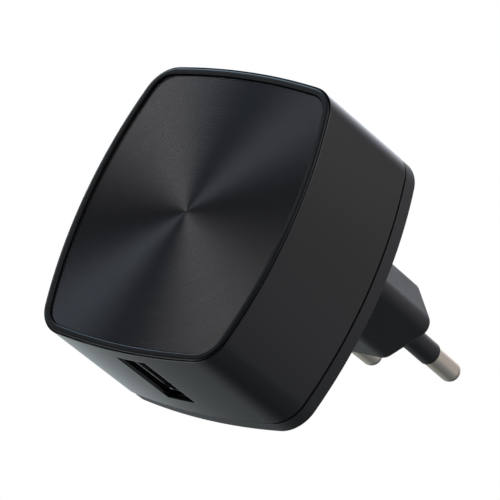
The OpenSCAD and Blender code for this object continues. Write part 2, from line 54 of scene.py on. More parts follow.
# points centre + radius * (cos a, sin a) from stop to stop, with counts steps each; and their normals
def arcPoints(centre, radius, stops, counts):
    a = np.concatenate([np.linspace(p, q, n, endpoint=False) for p, q, n in zip(stops, stops[1:], counts)])
    normal = np.stack([np.cos(a), np.sin(a)], -1)
    return np.asarray(centre) + radius * normal, normal


# each corner (u, v, radius) becomes its tangent arc; a short hold on both sides keeps the flats flat
def roundedPath(corners, steps=6, closed=True, hold=0.03 * mm):
    corners = [tuple(c) + (0,) * (3 - len(c)) for c in corners]
    count = len(corners)
    out = []
    for i, (u, v, radius) in enumerate(corners):
        p = np.array([u, v])
        if radius <= 0 or (not closed and i in (0, count - 1)):
            out.append(p[None])
            continue
        before = np.array(corners[i - 1][:2]) - p
        after = np.array(corners[(i + 1) % count][:2]) - p
        before, after = before / np.hypot(*before), after / np.hypot(*after)
        half = acos(np.clip(before @ after, -1, 1)) / 2
        reach = radius / tan(half)
        middle = before + after
        centre = p + middle / np.hypot(*middle) * radius / sin(half)
        turn = pi - 2 * half
        k = np.linspace(0, 1, steps + 1)[:, None]
        start, end = p + before * reach, p + after * reach
        arc = (start - centre) * np.sin((1 - k) * turn) + (end - centre) * np.sin(k * turn)
        arc = centre + arc / sin(turn)
        out.append(np.vstack([start + before * hold, arc, end + after * hold]))
    return np.vstack(out)


# normals of a counter-clockwise loop: the chord between both neighbours, turned a quarter outwards
def loopNormals(loop):
    chord = np.roll(loop, -1, 0) - np.roll(loop, 1, 0)
    normal = np.stack([chord[:, 1], -chord[:, 0]], -1)
    return normal / np.linalg.norm(normal, axis=1, keepdims=True)


# outline carried along a profile: P(s, v) = centre + scale(v) * (outline(s) + inset(v) * normal(s)), at y(v)
def carryOutline(base, normal, profile, centre=(0, 0)):
    inset, y = profile[:, 0], profile[:, 1]
    scale = profile[:, 2] if profile.shape[1] > 2 else np.ones(len(profile))
    flat = (base[:, None] + normal[:, None] * inset[None, :, None]) * scale[None, :, None]
    depth = np.broadcast_to(y[None, :, None], flat.shape[:2] + (1,))
    return np.concatenate([flat[..., :1] + centre[0], depth, flat[..., 1:] + centre[1]], -1)


# profile (r, h) turned about an axis: P = point + h * axis + r * (cos t * e1 + sin t * e2)
def turned(profile, point, axis, steps=48):
    axis = np.array(axis) / np.linalg.norm(axis)
    side = np.cross(axis, (0.3, 0.2, 0.93))
    side /= np.linalg.norm(side)
    other = np.cross(axis, side)
    t = np.linspace(0, 2 * pi, steps, endpoint=False)[:, None, None]
    r, h = profile[None, :, :1], profile[None, :, 1:2]
    return np.array(point) + h * axis + r * (np.cos(t) * side + np.sin(t) * other)


# grid of points to quads: corner (i, j), (i+1, j), (i+1, j+1), (i, j+1), wrapped where it closes
def gridFaces(shape, wrapU=True, wrapV=False, keep=None):
    nu, nv = shape[:2]
    columns, rows = nu if wrapU else nu - 1, nv if wrapV else nv - 1
    i, j = np.meshgrid(np.arange(columns), np.arange(rows), indexing="ij")
    if keep is not None:
        i, j = i[keep], j[keep]
    i, j = i.ravel(), j.ravel()
    i1, j1 = (i + 1) % nu, (j + 1) % nv
    return np.stack([i * nv + j, i1 * nv + j, i1 * nv + j1, i * nv + j1], -1)


# a closed sheet with openings: faces of both walls go within each span, and four walls join their edges
def cutThrough(nu, nv, spans, wrapV=False):
    keep = np.ones((nu, nv if wrapV else nv - 1), bool)
    walls = []
    for i0, i1, j0, j1, k0, k1 in spans:      # columns, outer rows up, matching inner rows down
        keep[i0:i1, j0:j1] = False
        keep[i0:i1, k1:k0] = False
        i, j, k = np.arange(i0, i1 + 1), np.arange(j0, j1 + 1), np.arange(k0, k1 - 1, -1)
        for outerRow, innerRow in ((j0, k0), (j1, k1)):
            walls.append(np.stack([i[:-1] * nv + outerRow, i[1:] * nv + outerRow,
                                   i[1:] * nv + innerRow, i[:-1] * nv + innerRow], -1))
        for column in (i0, i1):
            walls.append(np.stack([column * nv + j[:-1], column * nv + j[1:],
                                   column * nv + k[1:], column * nv + k[:-1]], -1))
    return np.vstack([gridFaces((nu, nv), True, wrapV, keep)] + walls)


# one mesh object from several grids; doubles merge, poles and seams close, faces point outwards
def makePiece(name, grids, slotName, nodes, extra=None):
    points, faces, start = [], [], 0
    for grid in grids:
        p, f = grid if isinstance(grid, tuple) else (grid, gridFaces(grid.shape))
        p = p.reshape(-1, 3)
        points.append(p)
        faces.append(f + start)
        start += len(p)
    points, faces = np.concatenate(points), np.concatenate(faces)
    mesh = bpy.data.meshes.new(name)
    mesh.from_pydata(points.tolist(), [], faces.tolist())
    bm = bmesh.new()
    bm.from_mesh(mesh)
    bmesh.ops.remove_doubles(bm, verts=bm.verts, dist=mergeDistance)
    bmesh.ops.dissolve_degenerate(bm, edges=bm.edges, dist=mergeDistance)
    if extra:
        extra(bm)
    bmesh.ops.recalc_face_normals(bm, faces=bm.faces)
    bm.to_mesh(mesh)
    bm.free()
    mesh.polygons.foreach_set("use_smooth", np.ones(len(mesh.polygons), bool))
    mesh.materials.append(materials[slotName])
    piece = bpy.data.objects.new(name, mesh)
    bpy.context.scene.collection.objects.link(piece)
    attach(piece, "root")
    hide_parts(*nodes)


# closed turned solid: profile from axis to axis
def turnedGrid(profile, point, axis, steps=48, closed=False):
    grid = turned(np.asarray(profile, float), point, axis, steps)
    return grid, gridFaces(grid.shape, True, closed)


def newGroup(name, inputs, outputs):
    group = bpy.data.node_groups.new(name, "ShaderNodeTree")
    for label, kind, value in inputs:
        socket = group.interface.new_socket(label, in_out="INPUT", socket_type=kind)
        if value is not None:
            socket.default_value = value
    for label, kind in outputs:
        group.interface.new_socket(label, in_out="OUTPUT", socket_type=kind)
    return group, group.nodes.new("NodeGroupInput"), group.nodes.new("NodeGroupOutput")


def mathNode(nodes, links, operation, a, b=None, c=None, clamp=False):
    node = nodes.new("ShaderNodeMath")
    node.operation = operation
    node.use_clamp = clamp
    for i, value in enumerate((a, b, c)):
        if value is None:
            continue
        if isinstance(value, (int, float)):
            node.inputs[i].default_value = value
        else:
            links.new(value, node.inputs[i])
    return node.outputs[0]


# moulded surface: height = fine grain + slow wave; roughness and colour = base +- spread * noise
def mouldedGroup():
    group, come, go = newGroup(
        "mouldedSurface",
        [("Vector", "NodeSocketVector", None), ("Color", "NodeSocketColor", (0.1, 0.1, 0.1, 1)),
         ("Grain per metre", "NodeSocketFloat", 4000.0), ("Wave per metre", "NodeSocketFloat", 120.0),
         ("Wave share", "NodeSocketFloat", 0.5), ("Roughness", "NodeSocketFloat", 0.4),
         ("Roughness spread", "NodeSocketFloat", 0.1), ("Tint spread", "NodeSocketFloat", 0.1)],
        [("Color", "NodeSocketColor"), ("Roughness", "NodeSocketFloat"), ("Height", "NodeSocketFloat")])
    nodes, links = group.nodes, group.links
    grain = nodes.new("ShaderNodeTexNoise")
    grain.inputs["Detail"].default_value = 3
    wave = nodes.new("ShaderNodeTexNoise")
    wave.inputs["Detail"].default_value = 2
    for node, rate in ((grain, "Grain per metre"), (wave, "Wave per metre")):
        links.new(come.outputs["Vector"], node.inputs["Vector"])
        links.new(come.outputs[rate], node.inputs["Scale"])
    fine = mathNode(nodes, links, "SUBTRACT", grain.outputs["Fac"], 0.5)
    slow = mathNode(nodes, links, "SUBTRACT", wave.outputs["Fac"], 0.5)
    height = mathNode(nodes, links, "MULTIPLY_ADD", slow, come.outputs["Wave share"], fine)
    links.new(height, go.inputs["Height"])
    mixed = mathNode(nodes, links, "MULTIPLY_ADD", fine, 0.5, slow)
    rough = mathNode(nodes, links, "MULTIPLY_ADD", mixed, come.outputs["Roughness spread"],
                     come.outputs["Roughness"], True)
    links.new(rough, go.inputs["Roughness"])
    tint = mathNode(nodes, links, "MULTIPLY_ADD", mixed, come.outputs["Tint spread"], 1.0)
    scale = nodes.new("ShaderNodeVectorMath")
    scale.operation = "SCALE"
    links.new(come.outputs["Color"], scale.inputs[0])
    links.new(tint, scale.inputs["Scale"])
    links.new(scale.outputs[0], go.inputs["Color"])
    return group


# turned surface: fine lines from a noise of the distance, and a painted groove shade 1 + share * cos(2 pi *
# distance / pitch), darkest in the groove bottoms
def turnedGroup():
    group, come, go = newGroup(
        "turnedLines",
        [("Distance", "NodeSocketFloat", 0.0), ("Lines per metre", "NodeSocketFloat", 6000.0),
         ("Roughness", "NodeSocketFloat", 0.3), ("Roughness spread", "NodeSocketFloat", 0.1),
         ("Shade spread", "NodeSocketFloat", 0.3), ("Ring pitch", "NodeSocketFloat", 0.001),
         ("Ring share", "NodeSocketFloat", 0.0)],
        [("Height", "NodeSocketFloat"), ("Roughness", "NodeSocketFloat"), ("Shade", "NodeSocketFloat")])
    nodes, links = group.nodes, group.links
    noise = nodes.new("ShaderNodeTexNoise")
    noise.noise_dimensions = "1D"
    noise.inputs["Detail"].default_value = 4
    links.new(come.outputs["Distance"], noise.inputs["W"])
    links.new(come.outputs["Lines per metre"], noise.inputs["Scale"])
    line = mathNode(nodes, links, "SUBTRACT", noise.outputs["Fac"], 0.5)
    links.new(line, go.inputs["Height"])
    rough = mathNode(nodes, links, "MULTIPLY_ADD", line, come.outputs["Roughness spread"],
                     come.outputs["Roughness"], True)
    links.new(rough, go.inputs["Roughness"])
    # painted shade: a cosine of the distance, darkest where the turned grooves bottom out
    turns = mathNode(nodes, links, "DIVIDE", come.outputs["Distance"], come.outputs["Ring pitch"])
    ring = mathNode(nodes, links, "COSINE", mathNode(nodes, links, "MULTIPLY", turns, 2 * pi))
    shade = mathNode(nodes, links, "MULTIPLY_ADD", line, come.outputs["Shade spread"], 1.0)
    shade = mathNode(nodes, links, "MULTIPLY_ADD", ring, come.outputs["Ring share"], shade)
    links.new(shade, go.inputs["Shade"])
    return group


mouldedSockets = {"Grain per metre": "grain", "Wave per metre": "wave", "Wave share": "waveShare",
                  "Roughness": "rough", "Roughness spread": "roughSpread", "Tint spread": "tint"}
turnedSockets = {"Lines per metre": "lines", "Roughness": "rough", "Roughness spread": "roughSpread",
                 "Shade spread": "shade", "Ring pitch": "ringPitch", "Ring share": "ringShare"}
moulded = mouldedGroup()
turnedLines = turnedGroup()


def startMaterial(name, settings):
    material = bpy.data.materials.new(name)
    material.use_nodes = True
    nodes, links = material.node_tree.nodes, material.node_tree.links
    shader = nodes["Principled BSDF"]
    for socket, value in settings.items():
        shader.inputs[socket].default_value = value
    return material, nodes, links, shader


# moulded or coated finish: the group's colour, roughness and height into one shader
def mouldedMaterial(name, look):
    material, nodes, links, shader = startMaterial(name, look.get("shader", {}))
    place = nodes.new("ShaderNodeTexCoord")
    group = nodes.new("ShaderNodeGroup")
    group.node_tree = moulded
    links.new(place.outputs["Object"], group.inputs["Vector"])
    group.inputs["Color"].default_value = look["color"] + (1,)
    for socket, key in mouldedSockets.items():
        group.inputs[socket].default_value = look[key]
    bump = nodes.new("ShaderNodeBump")
    bump.inputs["Strength"].default_value = look["bump"]
    bump.inputs["Distance"].default_value = look["bumpDepth"] * mm
    links.new(group.outputs["Color"], shader.inputs["Base Color"])
    links.new(group.outputs["Roughness"], shader.inputs["Roughness"])
    links.new(group.outputs["Height"], bump.inputs["Height"])
    links.new(bump.outputs["Normal"], shader.inputs["Normal"])
    return material


# turned metal: lines about a centre in the XZ plane, or along an axis
def turnedMaterial(name, look):
    material, nodes, links, shader = startMaterial(name, look.get("shader", {}))
    place = nodes.new("ShaderNodeTexCoord")
    shift = nodes.new("ShaderNodeMapping")
    shift.inputs["Location"].default_value = [-v for v in look["centre"]]
    links.new(place.outputs["Object"], shift.inputs["Vector"])
    split = nodes.new("ShaderNodeSeparateXYZ")
    links.new(shift.outputs["Vector"], split.inputs["Vector"])
    if look["about"] == "face":
        flat = nodes.new("ShaderNodeCombineXYZ")
        links.new(split.outputs["X"], flat.inputs["X"])
        links.new(split.outputs["Z"], flat.inputs["Z"])
        length = nodes.new("ShaderNodeVectorMath")
        length.operation = "LENGTH"
        links.new(flat.outputs[0], length.inputs[0])
        distance = length.outputs["Value"]
    else:
        distance = split.outputs["Y"]
    group = nodes.new("ShaderNodeGroup")
    group.node_tree = turnedLines
    links.new(distance, group.inputs["Distance"])
    for socket, key in turnedSockets.items():
        group.inputs[socket].default_value = look[key]
    colour = nodes.new("ShaderNodeVectorMath")
    colour.operation = "SCALE"
    colour.inputs[0].default_value = look["color"]
    links.new(group.outputs["Shade"], colour.inputs["Scale"])
    bump = nodes.new("ShaderNodeBump")
    bump.inputs["Strength"].default_value = look["bump"]
    bump.inputs["Distance"].default_value = look["bumpDepth"] * mm
    links.new(colour.outputs[0], shader.inputs["Base Color"])
    links.new(group.outputs["Roughness"], shader.inputs["Roughness"])
    links.new(group.outputs["Height"], bump.inputs["Height"])
    links.new(bump.outputs["Normal"], shader.inputs["Normal"])
    return material


housingLow, housingHigh = np.array(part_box("housing")[0]), np.array(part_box("housing")[1])
bodyMiddle = ((housingLow[0] + housingHigh[0]) / 2, (housingLow[2] + housingHigh[2]) / 2)

bareMetal = {"Metallic": 1.0}
finishes = {
    "gloss_housing": dict(color=(0.007, 0.007, 0.0075), rough=0.12, roughSpread=0.05, grain=1500.0, wave=90.0,
                          waveShare=3.0, tint=0.1, bump=0.05, bumpDepth=0.01),
    "satin_frame": dict(color=(0.009, 0.009, 0.0095), rough=0.34, roughSpread=0.08, grain=6000.0, wave=200.0,
                        waveShare=0.4, tint=0.1, bump=0.12, bumpDepth=0.01,
                        shader={"Specular IOR Level": 0.33}),
    "matte_cover": dict(color=(0.018, 0.018, 0.019), rough=0.48, roughSpread=0.1, grain=7000.0, wave=250.0,
                        waveShare=0.5, tint=0.25, bump=0.35, bumpDepth=0.015),
    "pin_sleeve": dict(color=(0.012, 0.012, 0.014), rough=0.38, roughSpread=0.1, grain=5000.0, wave=300.0,
                       waveShare=0.5, tint=0.2, bump=0.15, bumpDepth=0.01),
    "adhesive_tape": dict(color=(0.72, 0.71, 0.66), rough=0.6, roughSpread=0.2, grain=2500.0, wave=300.0,
                          waveShare=1.0, tint=0.2, bump=0.3, bumpDepth=0.02),
    "bronze_spring": dict(color=(0.72, 0.46, 0.24), rough=0.3, roughSpread=0.15, grain=3000.0, wave=400.0,
                          waveShare=0.6, tint=0.2, bump=0.15, bumpDepth=0.01, shader=bareMetal),
    "board_laminate": dict(color=(0.014, 0.13, 0.05), rough=0.35, roughSpread=0.15, grain=1600.0, wave=350.0,
                           waveShare=1.0, tint=0.6, bump=0.3, bumpDepth=0.03),
    "port_steel": dict(color=(0.55, 0.55, 0.56), rough=0.28, roughSpread=0.12, grain=4000.0, wave=300.0,
                       waveShare=0.5, tint=0.15, bump=0.1, bumpDepth=0.01, shader=bareMetal),
    "port_insulator": dict(color=(0.012, 0.012, 0.012), rough=0.45, roughSpread=0.1, grain=4000.0, wave=300.0,
                           waveShare=0.5, tint=0.2, bump=0.2, bumpDepth=0.01),
    "gold_contact": dict(color=(0.9, 0.62, 0.22), rough=0.2, roughSpread=0.1, grain=4000.0, wave=500.0,
                         waveShare=0.5, tint=0.1, bump=0.1, bumpDepth=0.005, shader=bareMetal),
    "ferrite": dict(color=(0.045, 0.045, 0.047), rough=0.62, roughSpread=0.15, grain=5000.0, wave=600.0,
                    waveShare=0.6, tint=0.5, bump=0.5, bumpDepth=0.03),
    "bobbin_resin": dict(color=(0.018, 0.018, 0.018), rough=0.4, roughSpread=0.12, grain=3000.0, wave=400.0,
                         waveShare=0.8, tint=0.3, bump=0.25, bumpDepth=0.02),
    "enamelled_wire": dict(color=(0.55, 0.2, 0.07), rough=0.22, roughSpread=0.1, grain=3000.0, wave=700.0,
                           waveShare=0.8, tint=0.3, bump=0.15, bumpDepth=0.01, shader=bareMetal),
    "winding_tape": dict(color=(0.86, 0.58, 0.05), rough=0.25, roughSpread=0.1, grain=2500.0, wave=400.0,
                         waveShare=1.5, tint=0.15, bump=0.25, bumpDepth=0.03),
    "tinned_lead": dict(color=(0.72, 0.72, 0.71), rough=0.28, roughSpread=0.15, grain=4000.0, wave=900.0,
                        waveShare=0.8, tint=0.15, bump=0.2, bumpDepth=0.01, shader=bareMetal),
    "sleeved_can": dict(color=(0.018, 0.022, 0.045), rough=0.25, roughSpread=0.1, grain=2500.0, wave=250.0,
                        waveShare=1.2, tint=0.25, bump=0.15, bumpDepth=0.02),
    "bare_can": dict(color=(0.8, 0.8, 0.81), rough=0.26, roughSpread=0.12, grain=3500.0, wave=300.0,
                     waveShare=0.6, tint=0.1, bump=0.12, bumpDepth=0.01, shader=bareMetal),
    "resistor_coat": dict(color=(0.10, 0.28, 0.31), rough=0.55, roughSpread=0.15, grain=4000.0, wave=500.0,
                          waveShare=1.0, tint=0.3, bump=0.4, bumpDepth=0.02),
    "disc_coat": dict(color=(0.02, 0.09, 0.4), rough=0.3, roughSpread=0.12, grain=2500.0, wave=400.0,
                      waveShare=1.5, tint=0.25, bump=0.25, bumpDepth=0.03),
    "chip_resin": dict(color=(0.02, 0.02, 0.021), rough=0.5, roughSpread=0.12, grain=6000.0, wave=700.0,
                       waveShare=0.5, tint=0.3, bump=0.35, bumpDepth=0.01),
    "chip_ceramic": dict(color=(0.35, 0.22, 0.12), rough=0.4, roughSpread=0.15, grain=4000.0, wave=700.0,
                         waveShare=1.0, tint=0.35, bump=0.2, bumpDepth=0.01),
    "solder": dict(color=(0.68, 0.68, 0.69), rough=0.24, roughSpread=0.2, grain=2500.0, wave=900.0,
                   waveShare=1.5, tint=0.15, bump=0.35, bumpDepth=0.02, shader=bareMetal),
}
turnedFinishes = {
    "ring_panel": dict(about="face", centre=(bodyMiddle[0], 0, bodyMiddle[1]), color=(0.085, 0.085, 0.090),
                       rough=0.12, roughSpread=0.05, lines=9000.0, shade=0.3, bump=0.3, bumpDepth=0.006,
                       # the panel's grooves get painted shade in their bottoms, 0.319 mm apart
                       ringPitch=0.319 * mm, ringShare=0.6,
                       shader={"Metallic": 0.9}),
    "nickel_pin": dict(about="pin", centre=(0, 0, 0), color=(0.88, 0.78, 0.66), rough=0.3, roughSpread=0.15,
                       lines=7000.0, shade=0.3, bump=0.12, bumpDepth=0.004,
                       ringPitch=1 * mm, ringShare=0.0, shader=bareMetal),
}
materials = {name: mouldedMaterial(name, look) for name, look in finishes.items()}
materials.update({name: turnedMaterial(name, look) for name, look in turnedFinishes.items()})
for subpart in frame["record"]["subparts"]:
    node = frame["nodes"][subpart["node"]]
    node.data.materials.clear()
    node.data.materials.append(materials[subpart["material_slot"]])
print("materials:", len(materials))


outlineShape = dict(sideBow=4.2 * mm, endBow=2.1 * mm, cornerRadius=6 * mm,
                    sideSteps=36, cornerSteps=20, endSteps=36)


# two side arcs and two end arcs joined by four corner arcs; endStops are extra columns on the bottom arc
def bodyOutline(shape, endStops=None, endCounts=None):
    halfW = (housingHigh[0] - housingLow[0]) / 2
    halfH = (housingHigh[2] - housingLow[2]) / 2
    sideR = (halfH ** 2 + shape["sideBow"] ** 2) / (2 * shape["sideBow"])
    endR = (halfW ** 2 + shape["endBow"] ** 2) / (2 * shape["endBow"])
    sideC, endC, r = halfW - sideR, halfH - endR, shape["cornerRadius"]
    gap = sqrt(sideC ** 2 + endC ** 2)
    along = (gap ** 2 + (sideR - r) ** 2 - (endR - r) ** 2) / (2 * gap)
    across = sqrt((sideR - r) ** 2 - along ** 2)
    ux, uz = -sideC / gap, endC / gap
    cx, cz = sideC + along * ux - across * uz, along * uz + across * ux
    if cx < 0 or cz < 0:
        cx, cz = sideC + along * ux + across * uz, along * uz - across * ux
    side = atan2(cz, cx - sideC)
    end = atan2(cz - endC, cx)
    ns, nc, ne = shape["sideSteps"], shape["cornerSteps"], shape["endSteps"]
    bottom = ([pi + end, 2 * pi - end], [ne])
    if endStops is not None:
        angles = [2 * pi - acos(x / endR) for x in endStops]
        bottom = ([pi + end] + angles + [2 * pi - end], endCounts)
    arcs = [
        ((sideC, 0), sideR, [-side, side], [ns]), ((cx, cz), r, [side, end], [nc]),
        ((0, endC), endR, [end, pi - end], [ne]), ((-cx, cz), r, [pi - end, pi - side], [nc]),
        ((-sideC, 0), sideR, [pi - side, pi + side], [ns]), ((-cx, -cz), r, [pi + side, pi + end], [nc]),
        ((0, -endC), endR, *bottom), ((cx, -cz), r, [2 * pi - end, 2 * pi - side], [nc]),
    ]
    parts = [arcPoints(*arc) for arc in arcs]
    return np.concatenate([p for p, n in parts]), np.concatenate([n for p, n in parts]), (cx, cz)


outline, outlineNormal, cornerCentre = bodyOutline(outlineShape)


housingShape = dict(
    frontInset=0.10 * mm, rearOut=0.08 * mm,      # the sides widen towards the rear
    frontEdge=0.18 * mm, rearEdge=0.1 * mm, gapOpen=0.12 * mm,
    rebate=0.27 * mm, rebateDepth=1.35 * mm, frontWall=1.4 * mm, wall=1.8 * mm,
    portEdge=0.07 * mm, portHold=0.12 * mm, portWidth=14.4 * mm, portHeight=6.2 * mm, portSteps=8,
    bottomSteps=14, postDiameter=3.4 * mm, postOut=1.15 * mm, weld=0.1 * mm,
)


def buildHousing(shape):
    port = next(m for m in frame["record"]["mounts"] if m["name"] == "usb_port")["pos_m"]
    x0, x1 = port[0] - shape["portHeight"] / 2, port[0] + shape["portHeight"] / 2
    y0, y1 = port[1] - shape["portWidth"] / 2, port[1] + shape["portWidth"] / 2
    edge, hold = shape["portEdge"], shape["portHold"]
    stops = [x0 - edge - hold, x0 - edge, x0, x1, x1 + edge, x1 + edge + hold]
    besides, across = shape["bottomSteps"], shape["portSteps"]
    base, normal, _ = bodyOutline(outlineShape, stops, [besides, 1, 1, across, 1, 1, besides])
    front, back = housingLow[1], housingHigh[1] - shape["gapOpen"]
    inner = front + shape["rebateDepth"] + shape["frontWall"]

    def outerInset(y):   # straight draft from the front to the rear
        share = (y - front) / (back - front)
        return shape["rearOut"] * share - shape["frontInset"] * (1 - share)

    outerRim = roundedPath([
        (-shape["rebate"], front + shape["rebateDepth"]), (-shape["rebate"], front, 0.05 * mm),
        (outerInset(front), front, shape["frontEdge"] * 0.8), (outerInset(y0), y0 - 1 * mm)], closed=False)
    rearRim = roundedPath([
        (outerInset(y1), y1 + 1 * mm), (outerInset(back), back, shape["rearEdge"]),
        (-shape["wall"], back, 0.15 * mm), (-shape["wall"], y1 + 1 * mm)], closed=False)
    portRows = np.array([y0 - edge - hold, y0 - edge, y0, y0 + 2 * mm, y0 + 5 * mm,
                         y1 - 5 * mm, y1 - 2 * mm, y1, y1 + edge, y1 + edge + hold])
    portOuter = np.stack([outerInset(portRows), portRows], -1)
    innerRows = np.maximum(portRows[::-1], inner + np.linspace(0.02, 0.01, len(portRows)) * mm)
    innerRows[-1] = inner + 0.005 * mm
    portInner = np.stack([np.full(len(innerRows), -shape["wall"]), innerRows], -1)
    capOut = np.array([[-shape["rebate"], front + shape["rebateDepth"], t] for t in (0, 0.35, 0.7, 0.97)])
    capIn = np.array([[-shape["wall"], inner, t] for t in (0.98, 0.7, 0.35, 0)])
    wallRows = np.vstack([outerRim[:-1], portOuter, rearRim[1:-1], portInner])
    profile = np.vstack([capOut, np.column_stack([wallRows, np.ones(len(wallRows))]), capIn])
    grid = carryOutline(base, normal, profile, bodyMiddle)
    nu, nv = grid.shape[:2]
    outerStart = len(capOut) + len(outerRim) - 1
    innerStart = outerStart + len(portOuter) + len(rearRim) - 2
    rows = len(portRows)
    bottomStart = nu - outlineShape["cornerSteps"] - (2 * besides + across + 4)
    i0, i1 = bottomStart + besides + 2, bottomStart + besides + 2 + across
    j0, j1 = outerStart + 2, outerStart + rows - 3
    k0, k1 = innerStart + rows - 3, innerStart + 2
    # the edge of the opening lies a bevel deeper than the outside
    grid[i0:i1 + 1, j0:j1 + 1, 2] += edge * 0.9
    grids = [(grid, cutThrough(nu, nv, [(i0, i1, j0, j1, k0, k1)]))]
    radius = shape["postDiameter"] / 2
    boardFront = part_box("circuit_board")[0][1]
    foot = inner - shape["weld"]
    post = roundedPath([(0, foot), (radius, foot), (radius, boardFront, 0.2 * mm), (0, boardFront)],
                       closed=False)
    for sx in (-1, 1):
        for sz in (-1, 1):
            place = (bodyMiddle[0] + sx * (cornerCentre[0] + shape["postOut"]), 0,
                     bodyMiddle[1] + sz * (cornerCentre[1] + shape["postOut"]))
            grids.append(turnedGrid(post, place, upright, 32))
    makePiece("gloss_housing_shell", grids, "gloss_housing", ["housing"])


buildHousing(housingShape)
print("housing")


frameShape = dict(
    inset=0.35 * mm, pocket=1.42 * mm, outerEdge=0.42 * mm, innerEdge=0.16 * mm, backEdge=0.1 * mm,
    floorEdge=0.05 * mm, backHold=0.6 * mm, floorHold=0.5 * mm,
    pegDiameter=1.8 * mm, pegHead=2.8 * mm, pegHeadHeight=0.5 * mm, pegIn=3.3 * mm, pegRise=6 * mm,
    weld=0.1 * mm,
)


def buildFrame(shape):
    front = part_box("front_frame")[0][1]
    back = housingLow[1] + housingShape["rebateDepth"]
    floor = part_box("panel_adhesive")[1][1]
    a, b = -shape["inset"], -shape["pocket"]
    backIn, floorIn = a - shape["backHold"], b - shape["floorHold"]
    profile = roundedPath([(backIn, back), (a, back, shape["backEdge"]), (a, front, shape["outerEdge"]),
                           (b, front, shape["innerEdge"]), (b, floor, shape["floorEdge"]),
                           (floorIn, floor)], 7, False)
    profile = np.column_stack([profile, np.ones(len(profile))])
    capBack = [(backIn, back, t) for t in (0, 0.5, 0.98)]
    capFloor = [(floorIn, floor, t) for t in (0.98, 0.5, 0)]
    profile = np.vstack([capBack, profile, capFloor])
    grids = [carryOutline(outline, outlineNormal, profile, bodyMiddle)]
    r, head = shape["pegDiameter"] / 2, shape["pegHead"] / 2
    tip = back + housingShape["frontWall"]
    foot, top = back - shape["weld"], tip + shape["pegHeadHeight"]
    peg = roundedPath([(0, foot), (r, foot), (r, tip), (head, tip, 0.08 * mm),
                       (head * 0.92, top, 0.3 * mm), (0, top)], 6, False)
    halfW = (housingHigh[0] - housingLow[0]) / 2
    for sx in (-1, 1):
        for sz in (-1, 1):
            place = (bodyMiddle[0] + sx * (halfW - housingShape["wall"] - shape["pegIn"]), 0,
                     bodyMiddle[1] + sz * shape["pegRise"])
            grids.append(turnedGrid(peg, place, upright, 28))
    makePiece("satin_front_frame", grids, "satin_frame", ["front_frame"])


buildFrame(frameShape)

panelShape = dict(inset=1.52 * mm, edge=0.06 * mm, pitch=0.319 * mm, depth=0.030 * mm, samples=4, turns=312,
                  pipRadius=0.22 * mm, pipHeight=0.05 * mm)


# polar plate: y = front + depth * (1 - cos(2 pi r / pitch)) / 2, with a pip in the middle; r ends at the edge
def buildPanel(shape):
    low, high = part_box("face_panel")
    edgeLoop = outline - outlineNormal * shape["inset"]
    angle = np.arctan2(edgeLoop[:, 1], edgeLoop[:, 0])
    order = np.argsort(angle)
    t = np.linspace(-pi, pi, shape["turns"], endpoint=False)
    limit = np.interp(t, angle[order], np.hypot(*edgeLoop[order].T), period=2 * pi)
    limitIn = limit - shape["edge"]
    step = shape["pitch"] / shape["samples"]
    radii = np.arange(0, limit.max() + step, step)
    r = np.minimum(radii[None], limitIn[:, None])
    wave = (1 - np.cos(2 * pi * r / shape["pitch"])) / 2 * shape["depth"]
    pip = shape["pipHeight"] * np.exp(-(r / shape["pipRadius"]) ** 2)
    y = low[1] + wave - pip
    rim = [(limit, low[1] + shape["edge"]), (limit, high[1] - shape["edge"]), (limitIn, high[1]),
           (limitIn * 0.5, high[1]), (limitIn * 0, high[1])]
    r = np.column_stack([r] + [radius for radius, _ in rim])
    y = np.column_stack([y] + [np.full(len(t), depth) for _, depth in rim])
    grid = np.stack([r * np.cos(t)[:, None] + bodyMiddle[0], y, r * np.sin(t)[:, None] + bodyMiddle[1]], -1)
    makePiece("ring_turned_panel", [grid], "ring_panel", ["face_panel"])


buildPanel(panelShape)
print("frame and panel")


coverShape = dict(
    inset=0.08 * mm, edge=0.2 * mm, frontEdge=0.1 * mm, gapOpen=0.1 * mm, thickness=2.8 * mm,
    floor=2.0 * mm, floorHold=0.4 * mm, backHold=1.2 * mm,
    lipInset=1.9 * mm, lipThickness=1.0 * mm, lipHeight=2.4 * mm,
    noseWidth=35.3 * mm, noseHeight=13.7 * mm, tipRadius=2.4 * mm, flatRadius=2.4 * mm,
    noseHold=0.3 * mm, noseStep=1.2 * mm, noseWall=1.6 * mm, noseEnd=2.4 * mm, noseEdge=1.1 * mm,
    baseOut=0.22 * mm, baseHold=0.5 * mm, boss=8 * mm, bossEdge=0.2 * mm, holeEdge=0.12 * mm,
    boreClearance=0.03 * mm, seat=6.5 * mm, collarBore=6.0 * mm, bossLength=9.6 * mm,
)
pinMounts = {m["name"]: m for m in frame["record"]["mounts"] if m["kind"] == "pin"}
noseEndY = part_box("rear_cover")[1][1]


# axis of a pin: the point where it crosses the end of the nose, and its direction
def pinAxis(side):
    mount = pinMounts["left_pin_end" if side < 0 else "right_pin_end"]
    axis = np.array(mount["axis"])
    point = np.array(mount["pos_m"])
    return point + axis * (noseEndY - point[1]) / axis[1], axis


# long hexagon with 45 degree ends; every corner is an arc, straight sides get extra points
def noseOutline(shape):
    h = shape["noseHeight"] / 2
    p = shape["noseWidth"] / 2 + shape["tipRadius"] * (sqrt(2) - 1)
    tip, flat = shape["tipRadius"], shape["flatRadius"]
    corners = [(p, 0, tip), (p - h, h, flat), (0, h), (h - p, h, flat),
               (-p, 0, tip), (h - p, -h, flat), (0, -h), (p - h, -h, flat)]
    loop = roundedPath(corners, 8, True, shape["noseHold"])
    following = np.roll(loop, -1, 0)
    counts = np.maximum(1, np.linalg.norm(following - loop, axis=1) // shape["noseStep"]).astype(int)
    pieces = [np.linspace(a, b, count, endpoint=False) for a, b, count in zip(loop, following, counts)]
    return np.vstack(pieces)


